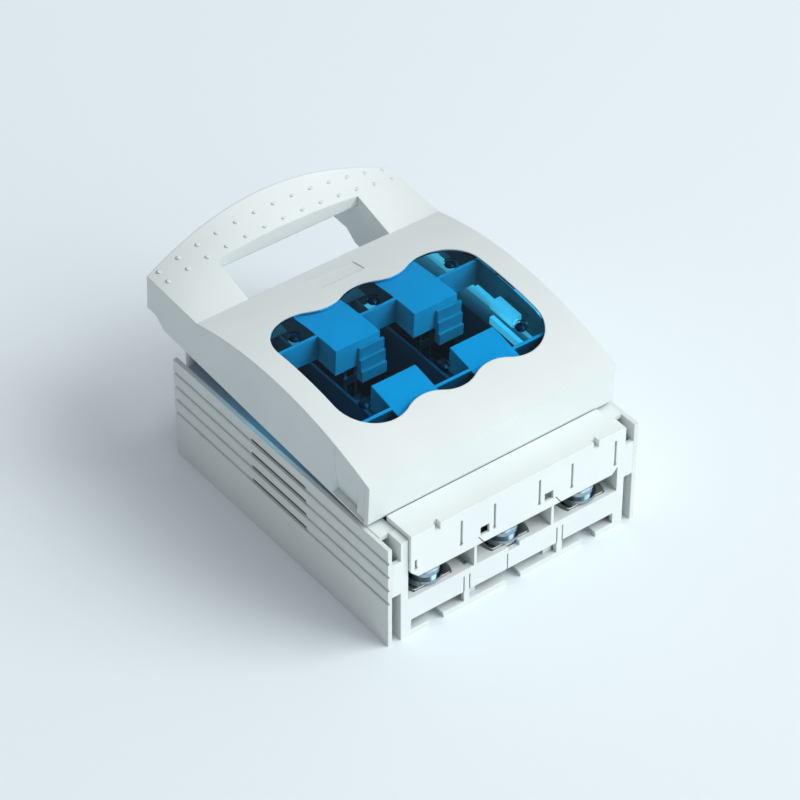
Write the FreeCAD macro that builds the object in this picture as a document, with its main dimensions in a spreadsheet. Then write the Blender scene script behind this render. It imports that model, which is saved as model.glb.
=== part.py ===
import FreeCAD, Part

import math
import operator
import os

import Sketcher

# Fused isolator: a three-pole fuse switch disconnector with a hinged lid that carries the fuse links.
# Millimetres. The origin is the centre of the mounting face, +X across the poles, +Y from the hinge
# end towards the handle, +Z away from the mounting plate.

DRIVING_SIZES = (
    ("base_length", 214.0, "base housing along Y"),
    ("base_width", 166.6, "base housing across X, outside its walls"),
    ("base_height", 75.0, "top of the base walls"),
    ("end_wall_rise", 0.6, "how far the wall ends stand over that"),
    ("end_wall_length", 12.0, "raised wall ends"),
    ("wall_thickness", 5.3, "base walls"),
    ("pole_edge", 20.5, "outer pole centres from the inside of the walls"),
    ("ledge_height", 29.0, "ledges between the terminal bars"),
    ("floor_underside", 22.5, "underside of the base floor"),
    ("shell_wall", 3.0, "skin of the ribbed underside"),
    ("rib_width", 6.5, "ribs under the pole barriers"),
    ("barrier_thickness", 2.0, "barriers between the poles"),
    ("barrier_height", 74.0, "top of the barriers"),
    ("running_gap", 0.3, "gap round pieces that lie in a pocket"),
    ("screw_gap", 0.1, "radial gap round screws and pins"),
    ("mount_hole_radius", 3.5, "fixing holes"),
    ("mount_head_radius", 6.5, "counterbore over the fixing holes"),
    ("mount_head_depth", 3.0, "depth of that counterbore"),
    ("mount_offset", 7.5, "fixing holes outside the barriers"),
    ("mount_inset", 22.0, "fixing holes from the ends"),
    ("pillar_radius", 9.0, "pillars round the fixing holes"),
    ("notch_radius", 5.5, "cable-tie notches in the lower edge"),
    ("notch_height", 7.0, "crown of those notches"),
    ("pocket_bottom", 4.2, "end pockets, lower edge"),
    ("pocket_top", 12.0, "end pockets, upper edge"),
    ("pocket_clear", 2.2, "end pockets from the inside of the walls"),
    ("end_rail_depth", 10.0, "deep lip under the end pockets"),
    ("end_pillar_offset", 6.1, "pillars of the end panels outside the barriers"),
    ("end_pillar_half", 2.1, "half the width of those pillars"),
    ("end_groove_width", 0.9, "grooves of the end panels"),
    ("end_groove_depth", 1.6, "grooves of the end panels"),
    ("end_groove_top", 24.0, "grooves of the end panels, upper end"),
    ("end_groove_offset", 4.6, "middle groove of the end panel from the centre"),
    ("ledge_notch_half", 4.1, "notch in the edge of the middle ledge"),
    ("ledge_notch_reach", 4.0, "that notch along Y"),
    ("washer_well_radius", 16.5, "round wells of the ledges about the bolts"),
    ("ledge_slot_offset", 1.8, "slots of the ledges outside the barriers"),
    ("ledge_slot_width", 3.5, "slots of the ledges"),
    ("ledge_slot_start", 4.4, "slots of the ledges from the ends"),
    ("ledge_slot_length", 9.0, "slots of the ledges"),
    ("ledge_slot_depth", 3.0, "slots of the ledges"),
    ("duct_width", 6.3, "duct between base wall and side cover"),
    ("web_thickness", 3.0, "end webs of the duct"),
    ("web_bottom", 37.0, "end web, lower edge"),
    ("web_top", 62.0, "end web, upper edge"),
    ("flange_thickness", 3.0, "flange along the top of the duct"),
    ("flange_top", 75.0, "upper face of that flange"),
    ("flange_inset", 12.0, "flange from the ends"),
    ("cover_boss_radius", 4.5, "bosses that the side covers are screwed to"),
    ("cover_peg_radius", 2.2, "pegs of the side covers"),
    ("cover_peg_length", 5.0, "pegs of the side covers"),
    ("cover_peg_inset", 26.0, "pegs from the ends"),
    ("cover_peg_height", 18.0, "lower pegs above the mounting face"),
    ("cover_thickness", 2.9, "side cover plate"),
    ("cover_height", 74.7, "side cover plate"),
    ("board_start", 32.6, "lowest groove between the boards"),
    ("board_height", 10.4, "from groove to groove"),
    ("board_groove_depth", 1.4, "grooves between the boards"),
    ("board_groove_height", 2.6, "slanted upper flank of those grooves"),
    ("slot_offset", 0.9, "ventilation slot above the groove under it"),
    ("slot_height", 3.0, "ventilation slots"),
    ("slot_start", 79.0, "ventilation slots from the front end"),
    ("slot_length", 54.5, "ventilation slots"),
    ("shroud_wall", 1.8, "terminal cover wall"),
    ("shroud_gap", 0.2, "terminal cover from the base end"),
    ("shroud_bottom", 46.0, "terminal cover lower edge"),
    ("shroud_top", 79.0, "front terminal cover top"),
    ("rear_shroud_top", 74.6, "rear terminal cover top"),
    ("shroud_depth", 20.9, "terminal covers reach over the base"),
    ("shroud_side_gap", 0.4, "terminal covers from the base walls"),
    ("shroud_corner", 6.5, "cut corner of the terminal covers"),
    ("slit_width", 1.5, "slits of the terminal covers"),
    ("slit_foot_radius", 1.2, "round foot of each slit"),
    ("inner_slit", 0.2145, "inner long slits, as a share of half the cover"),
    ("middle_slit", 0.5285, "next long slits, as a share of half the cover"),
    ("outer_slit", 0.953, "outermost slits, as a share of half the cover"),
    ("short_slit_top", 59.4, "the one short slit, upper end"),
    ("split_rise", 6.0, "slanted splits in the lower edge of the terminal covers"),
    ("split_lean", 4.0, "slant of those splits along X"),
    ("split_width", 0.6, "slanted splits"),
    ("rim_notch", 0.755, "recesses in the upper edge, as a share of half the cover"),
    ("rim_notch_width", 4.0, "recesses in the upper edge"),
    ("rim_notch_height", 5.0, "recesses in the upper edge"),
    ("rim_notch_reach", 4.0, "recesses in the upper edge along Y"),
    ("rim_notch_wall", 1.2, "floor and walls of those recesses"),
    ("slit_bottom", 52.0, "slits, lower end"),
    ("slit_top", 71.5, "slits, upper end"),
    ("window_cut", 6.5, "square holes of the terminal covers"),
    ("window_cut_offset", 23.8, "square holes from the middle of the cover"),
    ("bar_width", 28.0, "terminal bars"),
    ("bar_thickness", 4.0, "terminal bars"),
    ("bar_inset", 3.5, "terminal bars from the base end"),
    ("bar_end", 57.0, "inner end of the terminal bars"),
    ("bar_corner", 2.0, "rounded corners of the terminal bars"),
    ("bar_seat_depth", 2.5, "grooves of the terminal bars below the ledges"),
    ("bolt_inset", 12.0, "terminal bolts from the base end"),
    ("bolt_radius", 5.0, "terminal bolts"),
    ("bolt_tip", 15.0, "lower end of the terminal bolts"),
    ("bolt_flats", 17.0, "terminal bolt head across its flats"),
    ("bolt_head_height", 6.4, "terminal bolt head with its flange"),
    ("bolt_flange_radius", 9.6, "round flange of the terminal bolt head"),
    ("bolt_flange_height", 2.4, "that flange"),
    ("washer_radius", 11.0, "flat washers"),
    ("washer_thickness", 2.0, "flat washers"),
    ("spring_washer_radius", 9.0, "spring washers"),
    ("spring_washer_thickness", 2.6, "spring washers"),
    ("spring_washer_split", 1.6, "gap in a spring washer"),
    ("nut_side", 17.0, "square nuts"),
    ("nut_height", 8.0, "square nuts"),
    ("nut_well_wall", 2.0, "wall of the wells that hold the nuts"),
    ("nut_well_bottom", 8.0, "underside of the nut wells"),
    ("jaw_start", 34.0, "jaw contacts from the base end"),
    ("jaw_length", 20.0, "jaw contacts along Y"),
    ("jaw_foot", 22.0, "foot of a jaw"),
    ("jaw_sheet", 2.0, "sheet of a jaw"),
    ("jaw_mouth", 5.6, "gap between the leaves"),
    ("jaw_height", 34.0, "jaw above its bar"),
    ("jaw_flare", 3.0, "spread of the lead-in"),
    ("jaw_flare_height", 6.0, "height of the lead-in"),
    ("spring_height", 5.0, "clamp springs"),
    ("spring_sheet", 1.2, "clamp spring sheet"),
    ("spring_drop", 14.0, "clamp spring top below the jaw top"),
    ("spring_gap", 0.05, "fit of a clamp spring on its leaves"),
    ("chamber_start", 29.5, "arc chambers from the base end"),
    ("chamber_length", 27.5, "arc chambers along Y"),
    ("chamber_width", 40.0, "arc chambers"),
    ("chamber_wall", 1.6, "arc chamber wall"),
    ("chamber_top", 73.0, "arc chamber top"),
    ("chamber_slot", 19.0, "slot for the blade"),
    ("arc_plate_thickness", 1.0, "arc plates"),
    ("arc_plate_pitch", 5.0, "arc plates one above the next"),
    ("arc_plate_start", 42.0, "lowest arc plate"),
    ("hinge_inset", 27.5, "hinge axis from the front end"),
    ("hinge_height", 83.0, "hinge axis above the mounting face"),
    ("lug_radius", 3.4, "eye of the hinge lugs"),
    ("lug_post_start", 8.2, "post of a hinge lug behind the axis"),
    ("lug_post_length", 7.5, "post of a hinge lug"),
    ("pin_radius", 2.0, "hinge pins"),
    ("pin_boss_radius", 4.4, "bosses of the lid round its hinge pins"),
    ("pin_boss_length", 5.0, "inner bosses"),
    ("rest_angle", 3.4, "lid stands open by this much"),
    ("lid_overhang", 7.2, "lid stands over the base walls"),
    ("lid_wall", 2.6, "lid wall"),
    ("lid_length", 170.3, "lid from its front face to the crease"),
    ("lid_front_reach", 6.2, "lid front face in front of the hinge axis"),
    ("lid_skirt_drop", 6.5, "lid lower edge below the hinge axis"),
    ("lid_edge_height", 24.1, "lid shoulder above the hinge axis"),
    ("lid_arch_radius", 265.0, "arch of the lid"),
    ("lid_toe_radius", 3.5, "rounded lower front edge, which turns under the hinge"),
    ("crease_overlap", 0.5, "inside of the lid beyond the crease"),
    ("handle_length", 59.4, "handle beyond the crease, at its middle"),
    ("handle_bow", 7.8, "bow of the handle end in plan"),
    ("handle_crown", 20.0, "crown of the handle at its end"),
    ("hollow_end_wall", 4.0, "end of the handle hollow from the bowed end"),
    ("handle_step_start", 33.5, "underside step from the crease"),
    ("handle_step_length", 9.0, "underside step"),
    ("handle_step_rise", 6.0, "underside step"),
    ("grip_depth", 9.0, "hollow of the grip"),
    ("handle_arm", 38.0, "arms of the handle beside the finger opening"),
    ("finger_length", 33.0, "finger opening"),
    ("label_width", 33.0, "shallow label recess"),
    ("label_start", 148.0, "label recess from the lid front face"),
    ("label_length", 11.5, "label recess"),
    ("label_depth", 0.35, "label recess"),
    ("side_recess_start", 3.8, "side recesses from the lid front face"),
    ("side_recess_end", 33.8, "side recesses from the lid front face"),
    ("side_recess_depth", 1.2, "side recesses"),
    ("side_recess_rim", 2.4, "rim over the side recesses"),
    ("side_recess_lip", 1.5, "lip under the side recesses"),
    ("undercut_start", 12.0, "slanted part of a side recess from the lid front face"),
    ("undercut_top", 12.0, "slanted part of a side recess over the hinge axis"),
    ("undercut_depth", 4.5, "slanted part of a side recess at its foot"),
    ("undercut_wall", 2.0, "wall behind it"),
    ("window_centre", 83.3, "window centre from the lid front face"),
    ("window_half", 52.4, "half the window's length along Y"),
    ("lobe_inset", 8.5, "lobes of the window are this much closer than the poles"),
    ("lobe_wave", 6.4, "depth of the valleys between lobes"),
    ("window_gap", 0.35, "window in its opening"),
    ("window_set_back", 0.4, "window face below the lid face"),
    ("window_flange", 4.0, "flange under the lid"),
    ("window_flange_sheet", 1.2, "flange thickness"),
    ("window_seat", 0.1, "gap between flange and lid"),
    ("probe_boss_radius", 4.0, "test probe bosses on the window"),
    ("probe_boss_rise", 0.9, "height of those bosses"),
    ("probe_boss_spread", 33.9, "bosses from the window centre along Y"),
    ("carrier_gap", 0.1, "carrier frame below the window flange"),
    ("carrier_bottom", 15.0, "carrier lower face above the hinge axis"),
    ("carrier_side_gap", 1.9, "carrier frame from the lid walls"),
    ("carrier_rail", 10.0, "side rails of the carrier frame"),
    ("carrier_start", 8.6, "carrier front end from the hinge axis"),
    ("carrier_end", 155.0, "carrier rear end from the hinge axis"),
    ("carrier_front_block", 53.7, "rear face of the front blocks from the hinge axis"),
    ("carrier_rear_block", 87.7, "front face of the rear blocks from the hinge axis"),
    ("chamber_opening", 25.5, "openings of the carrier over each pole"),
    ("cross_wall_front", 33.3, "front cross walls from the hinge axis"),
    ("cross_wall_rear", 105.5, "rear cross walls from the hinge axis"),
    ("cross_wall", 2.0, "cross walls of the carrier"),
    ("carrier_skin", 2.2, "skin of the carrier blocks"),
    ("carrier_screw_radius", 2.0, "carrier screws"),
    ("carrier_screw_inset_x", 6.0, "carrier screws from the carrier side"),
    ("carrier_screw_inset_y", 10.0, "carrier screws from the carrier ends"),
    ("carrier_head_radius", 3.8, "carrier screw heads"),
    ("carrier_head_height", 2.4, "carrier screw heads"),
    ("carrier_boss_radius", 4.6, "lid bosses over the carrier screws"),
    ("carrier_screw_bite", 1.0, "carrier screws reach into the lid wall"),
    ("latch_width", 18.0, "link latches"),
    ("latch_bottom", 5.0, "lower end of the link latches above the hinge axis"),
    ("latch_height", 24.0, "link latches"),
    ("latch_sheet", 1.8, "link latches at their top"),
    ("latch_step", 1.6, "each step of a link latch stands out by this"),
    ("latch_offset", 9.0, "link latches beside the block middle"),
    ("rod_radius", 2.0, "signal rod"),
    ("rod_start", 59.5, "signal rod front end from the hinge axis"),
    ("rod_length", 36.0, "signal rod"),
    ("rod_height", 22.4, "signal rod above the hinge axis"),
    ("sleeve_width", 8.0, "sleeve of the signal rod"),
    ("sleeve_start", 58.0, "sleeve front end from the hinge axis"),
    ("sleeve_length", 20.0, "sleeve"),
    ("sleeve_foot", 3.0, "foot that joins the sleeve to the rail"),
    ("strip_width", 3.0, "guide strip"),
    ("strip_height", 5.0, "guide strip"),
    ("strip_length", 33.0, "guide strip"),
    ("strip_offset", 1.5, "guide strip beside the pole centre"),
)

FRONT, REAR = -1, 1
SIDES = (-1, 1)
POLES = (-1, 0, 1)
BOARDS = 4
ARC_PLATES = 4
LATCH_STEPS = 3
OPERATIONS = {"+": operator.add, "-": operator.sub, "*": operator.mul, "/": operator.truediv}

# The normal of each origin plane, as the axis it lies along and its sense.
PLANES = {"XY_Plane": 1, "YZ_Plane": 1, "XZ_Plane": -1}


class Length:
    """A sum of sheet cells: its text binds a property, its value starts the geometry off."""

    def __init__(self, text, value):
        self.text = text
        self.value = float(value)

    def __add__(self, other):
        return combine(self, "+", other)

    def __radd__(self, other):
        return combine(other, "+", self)

    def __sub__(self, other):
        return combine(self, "-", other)

    def __rsub__(self, other):
        return combine(other, "-", self)

    def __mul__(self, other):
        return combine(self, "*", other)

    def __rmul__(self, other):
        return combine(other, "*", self)

    def __truediv__(self, other):
        return combine(self, "/", other)

    def __neg__(self):
        return combine(0, "-", self)


def as_length(number):
    if isinstance(number, Length):
        return number
    return Length(repr(float(number)), number)


def combine(left, sign, right):
    left, right = as_length(left), as_length(right)
    value = OPERATIONS[sign](left.value, right.value)
    return Length("(%s %s %s)" % (left.text, sign, right.text), value)


def root(length):
    return Length("sqrt(%s)" % length.text, math.sqrt(length.value))


class Sizes:
    """The sheet of driving sizes; each alias is also an attribute that holds its Length."""

    def __init__(self, document, table):
        sheet = document.addObject("Spreadsheet::Sheet", "Sizes")
        for row, (alias, number, meaning) in enumerate(table, start=1):
            sheet.set("A%d" % row, str(number))
            sheet.setAlias("A%d" % row, alias)
            sheet.set("B%d" % row, meaning)
            setattr(self, alias, Length("Sizes." + alias, number))


doc = FreeCAD.newDocument("FusedIsolator")
size = Sizes(doc, DRIVING_SIZES)
doc.recompute()
sub_parts = []


def bind(thing, **paths):
    """Bind properties, such as Length=size.wall, to the sheet."""
    for path, length in paths.items():
        thing.setExpression(path.replace("_", "."), as_length(length).text)


def keep(thing, label):
    """Make a finished object a sub-part, whose label names its file."""
    thing.Label = label
    sub_parts.append(thing)
    return thing


def place(thing, x=0, y=0, z=0):
    bind(thing, Placement_Base_x=x, Placement_Base_y=y, Placement_Base_z=z)
    return thing


def hang_on_lid(thing):
    """Place an object that is drawn round the hinge axis of the closed lid."""
    axis = "create(<<vector>>; 0; %s; %s)" % (hinge_y().text, size.hinge_height.text)
    turn = "create(<<rotation>>; create(<<vector>>; 1; 0; 0); %s)" % size.rest_angle.text
    thing.setExpression("Placement", "create(<<placement>>; %s; %s)" % (axis, turn))
    return thing


def hinge_y():
    return size.hinge_inset - size.base_length / 2


def from_end(end, distance):
    """The Y of a place at a distance from the front or the rear end of the base."""
    return end * (size.base_length / 2 - distance)


def end_span(end, near, far):
    """The lower and upper Y of a stretch that is measured from one end."""
    spans = (from_end(end, near), from_end(end, far))
    return spans if end == FRONT else (spans[1], spans[0])


def inside_half():
    """Half the clear width between the base walls."""
    return size.base_width / 2 - size.wall_thickness


def pole_pitch():
    return inside_half() - size.pole_edge


def pole_x(pole):
    return pole * pole_pitch()


def mount_x():
    return pole_pitch() / 2 + size.mount_offset


def lid_half():
    return size.base_width / 2 + size.lid_overhang


def shroud_half():
    return inside_half() - size.shroud_side_gap


def carrier_half():
    return lid_half() - size.lid_wall - size.carrier_side_gap


def finger_half():
    return lid_half() - size.handle_arm


def new_body(name):
    return doc.addObject("PartDesign::Body", name)


class Outline:
    """A closed loop of points; where a point has a radius, the edge that leaves it is an arc."""

    def __init__(self, *corners):
        self.corners = [corner if len(corner) > 2 else corner + (None,) for corner in corners]

    def draw(self, sketch):
        count = len(self.corners)
        edges = []
        for number in range(count):
            start, end = self.corners[number], self.corners[(number + 1) % count]
            edges.append(self.add_edge(sketch, start, end))
        for number, edge in enumerate(edges):
            following = edges[(number + 1) % count]
            join = Sketcher.Constraint("Coincident", edge[0], edge[2], following[0], following[1])
            sketch.addConstraint(join)
            corner = self.corners[number]
            for kind, length in (("DistanceX", corner[0]), ("DistanceY", corner[1])):
                length = as_length(length)
                held = Sketcher.Constraint(kind, -1, 1, edge[0], edge[1], length.value)
                fix(sketch, held, length)
            if corner[2] is not None:
                radius = corner[2] if corner[2].value > 0 else -corner[2]
                fix(sketch, Sketcher.Constraint("Radius", edge[0], radius.value), radius)

    @staticmethod
    def add_edge(sketch, start, end):
        """Add a line or an arc and say which of its ends comes first. A positive radius bulges
        to the right of the way from start to end, a negative one to the left."""
        a = FreeCAD.Vector(as_length(start[0]).value, as_length(start[1]).value, 0)
        b = FreeCAD.Vector(as_length(end[0]).value, as_length(end[1]).value, 0)
        if start[2] is None:
            return sketch.addGeometry(Part.LineSegment(a, b)), 1, 2
        radius = abs(start[2].value)
        side = math.copysign(1, start[2].value)
        chord = b - a
        right = FreeCAD.Vector(chord.y, -chord.x, 0).normalize() * side
        rise = radius - math.sqrt(radius ** 2 - (chord.Length / 2) ** 2)
        middle = (a + b) / 2 + right * rise
        if side > 0:
            return sketch.addGeometry(Part.Arc(a, middle, b)), 1, 2
        return sketch.addGeometry(Part.Arc(b, middle, a)), 2, 1


class Round:
    """A circle at a place."""

    def __init__(self, x, y, radius):
        self.x, self.y, self.radius = as_length(x), as_length(y), as_length(radius)

    def draw(self, sketch):
        centre = FreeCAD.Vector(self.x.value, self.y.value, 0)
        upright = FreeCAD.Vector(0, 0, 1)
        index = sketch.addGeometry(Part.Circle(centre, upright, self.radius.value))
        fix(sketch, Sketcher.Constraint("DistanceX", -1, 1, index, 3, self.x.value), self.x)
        fix(sketch, Sketcher.Constraint("DistanceY", -1, 1, index, 3, self.y.value), self.y)
        fix(sketch, Sketcher.Constraint("Radius", index, self.radius.value), self.radius)


def fix(sketch, constraint, length):
    index = sketch.addConstraint(constraint)
    sketch.setExpression("Constraints[%d]" % index, length.text)


def rectangle(low_u, low_v, high_u, high_v):
    return Outline((low_u, low_v), (high_u, low_v), (high_u, high_v), (low_u, high_v))


def rounded_rectangle(low_u, low_v, high_u, high_v, radius):
    """A rectangle whose corners are quarter circles."""
    return Outline((low_u + radius, low_v), (high_u - radius, low_v, radius), (high_u, low_v + radius),
                   (high_u, high_v - radius, radius), (high_u - radius, high_v),
                   (low_u + radius, high_v, radius), (low_u, high_v - radius),
                   (low_u, low_v + radius, radius))


def new_sketch(body, plane, height, loops):
    name = "%s_sketch_%d" % (body.Name, len(body.Group))
    sketch = body.newObject("Sketcher::SketchObject", name)
    support = [f for f in body.Origin.OriginFeatures if f.Role == plane][0]
    sketch.AttachmentSupport = [(support, "")]
    sketch.MapMode = "FlatFace"
    bind(sketch, AttachmentOffset_Base_z=PLANES[plane] * as_length(height))
    for loop in loops:
        loop.draw(sketch)
    return sketch


def pad(body, plane, low, high, *loops):
    """Add the loops' prism between two heights over an origin plane."""
    start = low if PLANES[plane] > 0 else high
    feature = body.newObject("PartDesign::Pad", body.Name + "_pad_%d" % len(body.Group))
    feature.Profile = new_sketch(body, plane, start, loops)
    bind(feature, Length=high - low)
    return feature


def pocket(body, plane, low, high, *loops):
    """Take the loops' prism between two heights away."""
    start = high if PLANES[plane] > 0 else low
    feature = body.newObject("PartDesign::Pocket", body.Name + "_pocket_%d" % len(body.Group))
    feature.Profile = new_sketch(body, plane, start, loops)
    bind(feature, Length=high - low)
    return feature


def block(low, high):
    """A box between two corners, each three lengths."""
    box = doc.addObject("Part::Box", "block")
    bind(box, Length=high[0] - low[0], Width=high[1] - low[1], Height=high[2] - low[2])
    return place(box, *low)


def rod(x, y, low, high, radius):
    """An upright cylinder."""
    cylinder = doc.addObject("Part::Cylinder", "rod")
    bind(cylinder, Radius=radius, Height=high - low)
    return place(cylinder, x, y, low)


def rod_along_x(low, high, y, z, radius):
    cylinder = doc.addObject("Part::Cylinder", "rod_along_x")
    bind(cylinder, Radius=radius, Height=high - low)
    cylinder.Placement.Rotation = FreeCAD.Rotation(FreeCAD.Vector(0, 1, 0), 90)
    return place(cylinder, low, y, z)


def rod_along_y(x, low, high, z, radius):
    cylinder = doc.addObject("Part::Cylinder", "rod_along_y")
    bind(cylinder, Radius=radius, Height=high - low)
    cylinder.Placement.Rotation = FreeCAD.Rotation(FreeCAD.Vector(1, 0, 0), -90)
    return place(cylinder, x, low, z)


def without(solid, *tools):
    """A solid with other solids cut out of it."""
    for tool in tools:
        cut = doc.addObject("Part::Cut", "cut")
        cut.Base, cut.Tool = solid, tool
        solid = cut
    return solid


def joined(*solids):
    union = doc.addObject("Part::MultiFuse", "union")
    union.Shapes = list(solids)
    return union


def group(label, solids):
    """Like pieces that stay separate solids of one sub-part."""
    bunch = doc.addObject("Part::Compound", label)
    bunch.Links = solids
    return keep(bunch, label)


def make_base_housing():
    """Moulded base: floor over a ribbed underside, side walls, pole barriers and hinge lugs."""
    body = new_body("base_housing")
    half_width, half_length = size.base_width / 2, size.base_length / 2
    inside = inside_half()
    pad(body, "XY_Plane", 0, size.base_height, rectangle(-half_width, -half_length, half_width, half_length))
    for end in SIDES:
        low, high = end_span(end, 0, size.end_wall_length)
        pad(body, "XY_Plane", size.base_height, size.base_height + size.end_wall_rise,
            *[rectangle(side * (half_width + inside) / 2 - (half_width - inside) / 2, low,
                        side * (half_width + inside) / 2 + (half_width - inside) / 2, high)
              for side in SIDES])
    pocket(body, "XY_Plane", size.ledge_height, size.base_height + 1,
           rectangle(-inside, -half_length - 1, inside, half_length + 1))
    barrier = size.barrier_thickness / 2
    pad(body, "XY_Plane", size.ledge_height, size.barrier_height,
        *[rectangle(side * pole_pitch() / 2 - barrier, -half_length,
                    side * pole_pitch() / 2 + barrier, half_length) for side in SIDES])
    low, high = end_span(REAR, -1, size.shroud_depth + size.running_gap)
    pocket(body, "XY_Plane", size.rear_shroud_top - size.shroud_wall - size.running_gap,
           size.barrier_height + 1, rectangle(-inside, low, inside, high))
    hollow_base_underside(body)
    cut_base_ends(body)
    add_cover_fixings(body)
    add_hinge_lugs(body)
    return keep(body, "base_housing")


def hollow_base_underside(body):
    """Hollow each pole from below, then put back the pillars and the nut wells."""
    rib = size.rib_width / 2
    reach = size.base_length / 2 - size.shell_wall
    edges = (-size.base_width / 2 + size.shell_wall, -pole_pitch() / 2, pole_pitch() / 2,
             size.base_width / 2 - size.shell_wall)
    hollows = []
    for number in range(3):
        low = edges[number] if number == 0 else edges[number] + rib
        high = edges[number + 1] if number == 2 else edges[number + 1] - rib
        hollows.append(rectangle(low, -reach, high, reach))
    pocket(body, "XY_Plane", -1 * size.shell_wall, size.floor_underside, *hollows)
    for end in SIDES:
        low, high = end_span(end, size.shell_wall / 2, size.end_rail_depth)
        pad(body, "XY_Plane", 0, size.pocket_bottom, rectangle(-inside_half(), low, inside_half(), high))
    places = [(side * mount_x(), from_end(end, size.mount_inset)) for side in SIDES for end in SIDES]
    pad(body, "XY_Plane", 0, size.ledge_height, *[Round(x, y, size.pillar_radius) for x, y in places])
    bolts = [(pole_x(pole), from_end(end, size.bolt_inset)) for pole in POLES for end in SIDES]
    well = size.nut_side / 2 + size.running_gap + size.nut_well_wall
    pad(body, "XY_Plane", size.nut_well_bottom, size.floor_underside,
        *[rectangle(x - well, y - well, x + well, y + well) for x, y in bolts])
    pocket(body, "XY_Plane", size.bolt_tip - 1, size.ledge_height + 1,
           *[Round(x, y, size.bolt_radius + size.running_gap) for x, y in bolts])
    pocket(body, "XY_Plane", -1 * size.shell_wall, size.ledge_height + 1,
           *[Round(x, y, size.mount_hole_radius) for x, y in places])
    pocket(body, "XY_Plane", size.ledge_height - size.mount_head_depth, size.ledge_height + 1,
           *[Round(x, y, size.mount_head_radius) for x, y in places])


def bar_seat():
    return size.ledge_height - size.bar_seat_depth


def cut_base_ends(body):
    """Bar grooves, round wells, nut pockets, ledge slots, tie notches and the end pockets."""
    groove = size.bar_width / 2
    nut = size.nut_side / 2 + size.running_gap
    for end in SIDES:
        low, high = end_span(end, size.bar_inset, size.bar_end + size.running_gap)
        pocket(body, "XY_Plane", bar_seat(), size.ledge_height + 1,
               *[rectangle(pole_x(p) - groove, low, pole_x(p) + groove, high) for p in POLES])
        y = from_end(end, size.bolt_inset)
        well = size.washer_well_radius
        reach = root(well * well - groove * groove)
        for p in POLES:
            x = pole_x(p)
            pocket(body, "XY_Plane", bar_seat(), size.ledge_height + 1,
                   Outline((x - groove, y - reach), (x + groove, y - reach, well), (x + well, y, well),
                           (x + groove, y + reach), (x - groove, y + reach, well), (x - well, y, well)))
        pocket(body, "XY_Plane", bar_seat() - size.nut_height - size.running_gap, bar_seat() + 1,
               *[rectangle(pole_x(p) - nut, y - nut, pole_x(p) + nut, y + nut) for p in POLES])
        pocket(body, "XZ_Plane", *end_span(end, -1, size.end_rail_depth + 1), *tie_notches())
        pocket(body, "XZ_Plane", *end_span(end, -1, size.shell_wall + 1), *end_pockets())
        pocket(body, "XZ_Plane", *end_span(end, -1, size.end_groove_depth), *end_grooves())
        cut_ledges(body, end)


def cut_ledges(body, end):
    """A notch in the edge of the middle ledge and a slot outside each barrier."""
    low, high = end_span(end, -1, size.ledge_notch_reach)
    pocket(body, "XY_Plane", size.ledge_height - size.ledge_slot_depth, size.ledge_height + 1,
           rectangle(-size.ledge_notch_half, low, size.ledge_notch_half, high))
    low, high = end_span(end, size.ledge_slot_start, size.ledge_slot_start + size.ledge_slot_length)
    near = pole_pitch() / 2 + size.ledge_slot_offset
    slots = []
    for side in SIDES:
        left, right = mirrored(side, near, near + size.ledge_slot_width)
        slots.append(rectangle(left, low, right, high))
    pocket(body, "XY_Plane", size.ledge_height - size.ledge_slot_depth, size.ledge_height + 1, *slots)


def end_pillar_x():
    return pole_pitch() / 2 + size.end_pillar_offset


def tie_notches():
    """Arched notches in the lower edge, one on each pole centre."""
    notches = []
    radius = size.notch_radius
    shoulder = size.notch_height - radius
    for pole in POLES:
        x = pole_x(pole)
        notches.append(Outline((x - radius, -1), (x + radius, -1), (x + radius, shoulder, radius),
                               (x, size.notch_height, radius), (x - radius, shoulder)))
    return notches


def end_pockets():
    """One wide pocket for each pole, between the pillars and the walls."""
    near = end_pillar_x() - size.end_pillar_half
    far = end_pillar_x() + size.end_pillar_half
    spans = [(-near, near)] + [mirrored(side, far, inside_half() - size.pocket_clear) for side in SIDES]
    return [rectangle(low, size.pocket_bottom, high, size.pocket_top) for low, high in spans]


def end_grooves():
    """Upright grooves beside the pillars and near the middle of the end panel."""
    half = size.end_groove_width / 2
    places = [side * (end_pillar_x() + edge * size.end_pillar_half) for side in SIDES for edge in SIDES]
    return [rectangle(x - half, size.pocket_top, x + half, size.end_groove_top)
            for x in places + [-size.end_groove_offset]]


def cover_peg_places():
    return [(from_end(end, size.cover_peg_inset), z) for end in SIDES
            for z in (size.cover_peg_height, size.web_top)]


def mirrored(side, low, high):
    """The same stretch of X on the right or, mirrored, on the left."""
    return (low, high) if side > 0 else (-high, -low)


def add_cover_fixings(body):
    """End webs, top flanges and bored bosses that carry the two side covers."""
    wall = size.base_width / 2
    cover = wall + size.duct_width
    inset = size.base_length / 2 - size.flange_inset
    for side in SIDES:
        low, high = mirrored(side, wall, cover)
        pad(body, "XY_Plane", size.flange_top - size.flange_thickness, size.flange_top,
            rectangle(low, -inset, high, inset))
        for end in SIDES:
            near, far = end_span(end, 0, size.web_thickness)
            pad(body, "XZ_Plane", near, far, rectangle(low, size.web_bottom, high, size.web_top))
        pad(body, "YZ_Plane", low, high,
            *[Round(y, z, size.cover_boss_radius) for y, z in cover_peg_places()])
        bore = mirrored(side, cover - size.cover_peg_length - size.running_gap, cover + 1)
        pocket(body, "YZ_Plane", *bore,
               *[Round(y, z, size.cover_peg_radius + size.screw_gap)
                 for y, z in cover_peg_places()])


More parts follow.
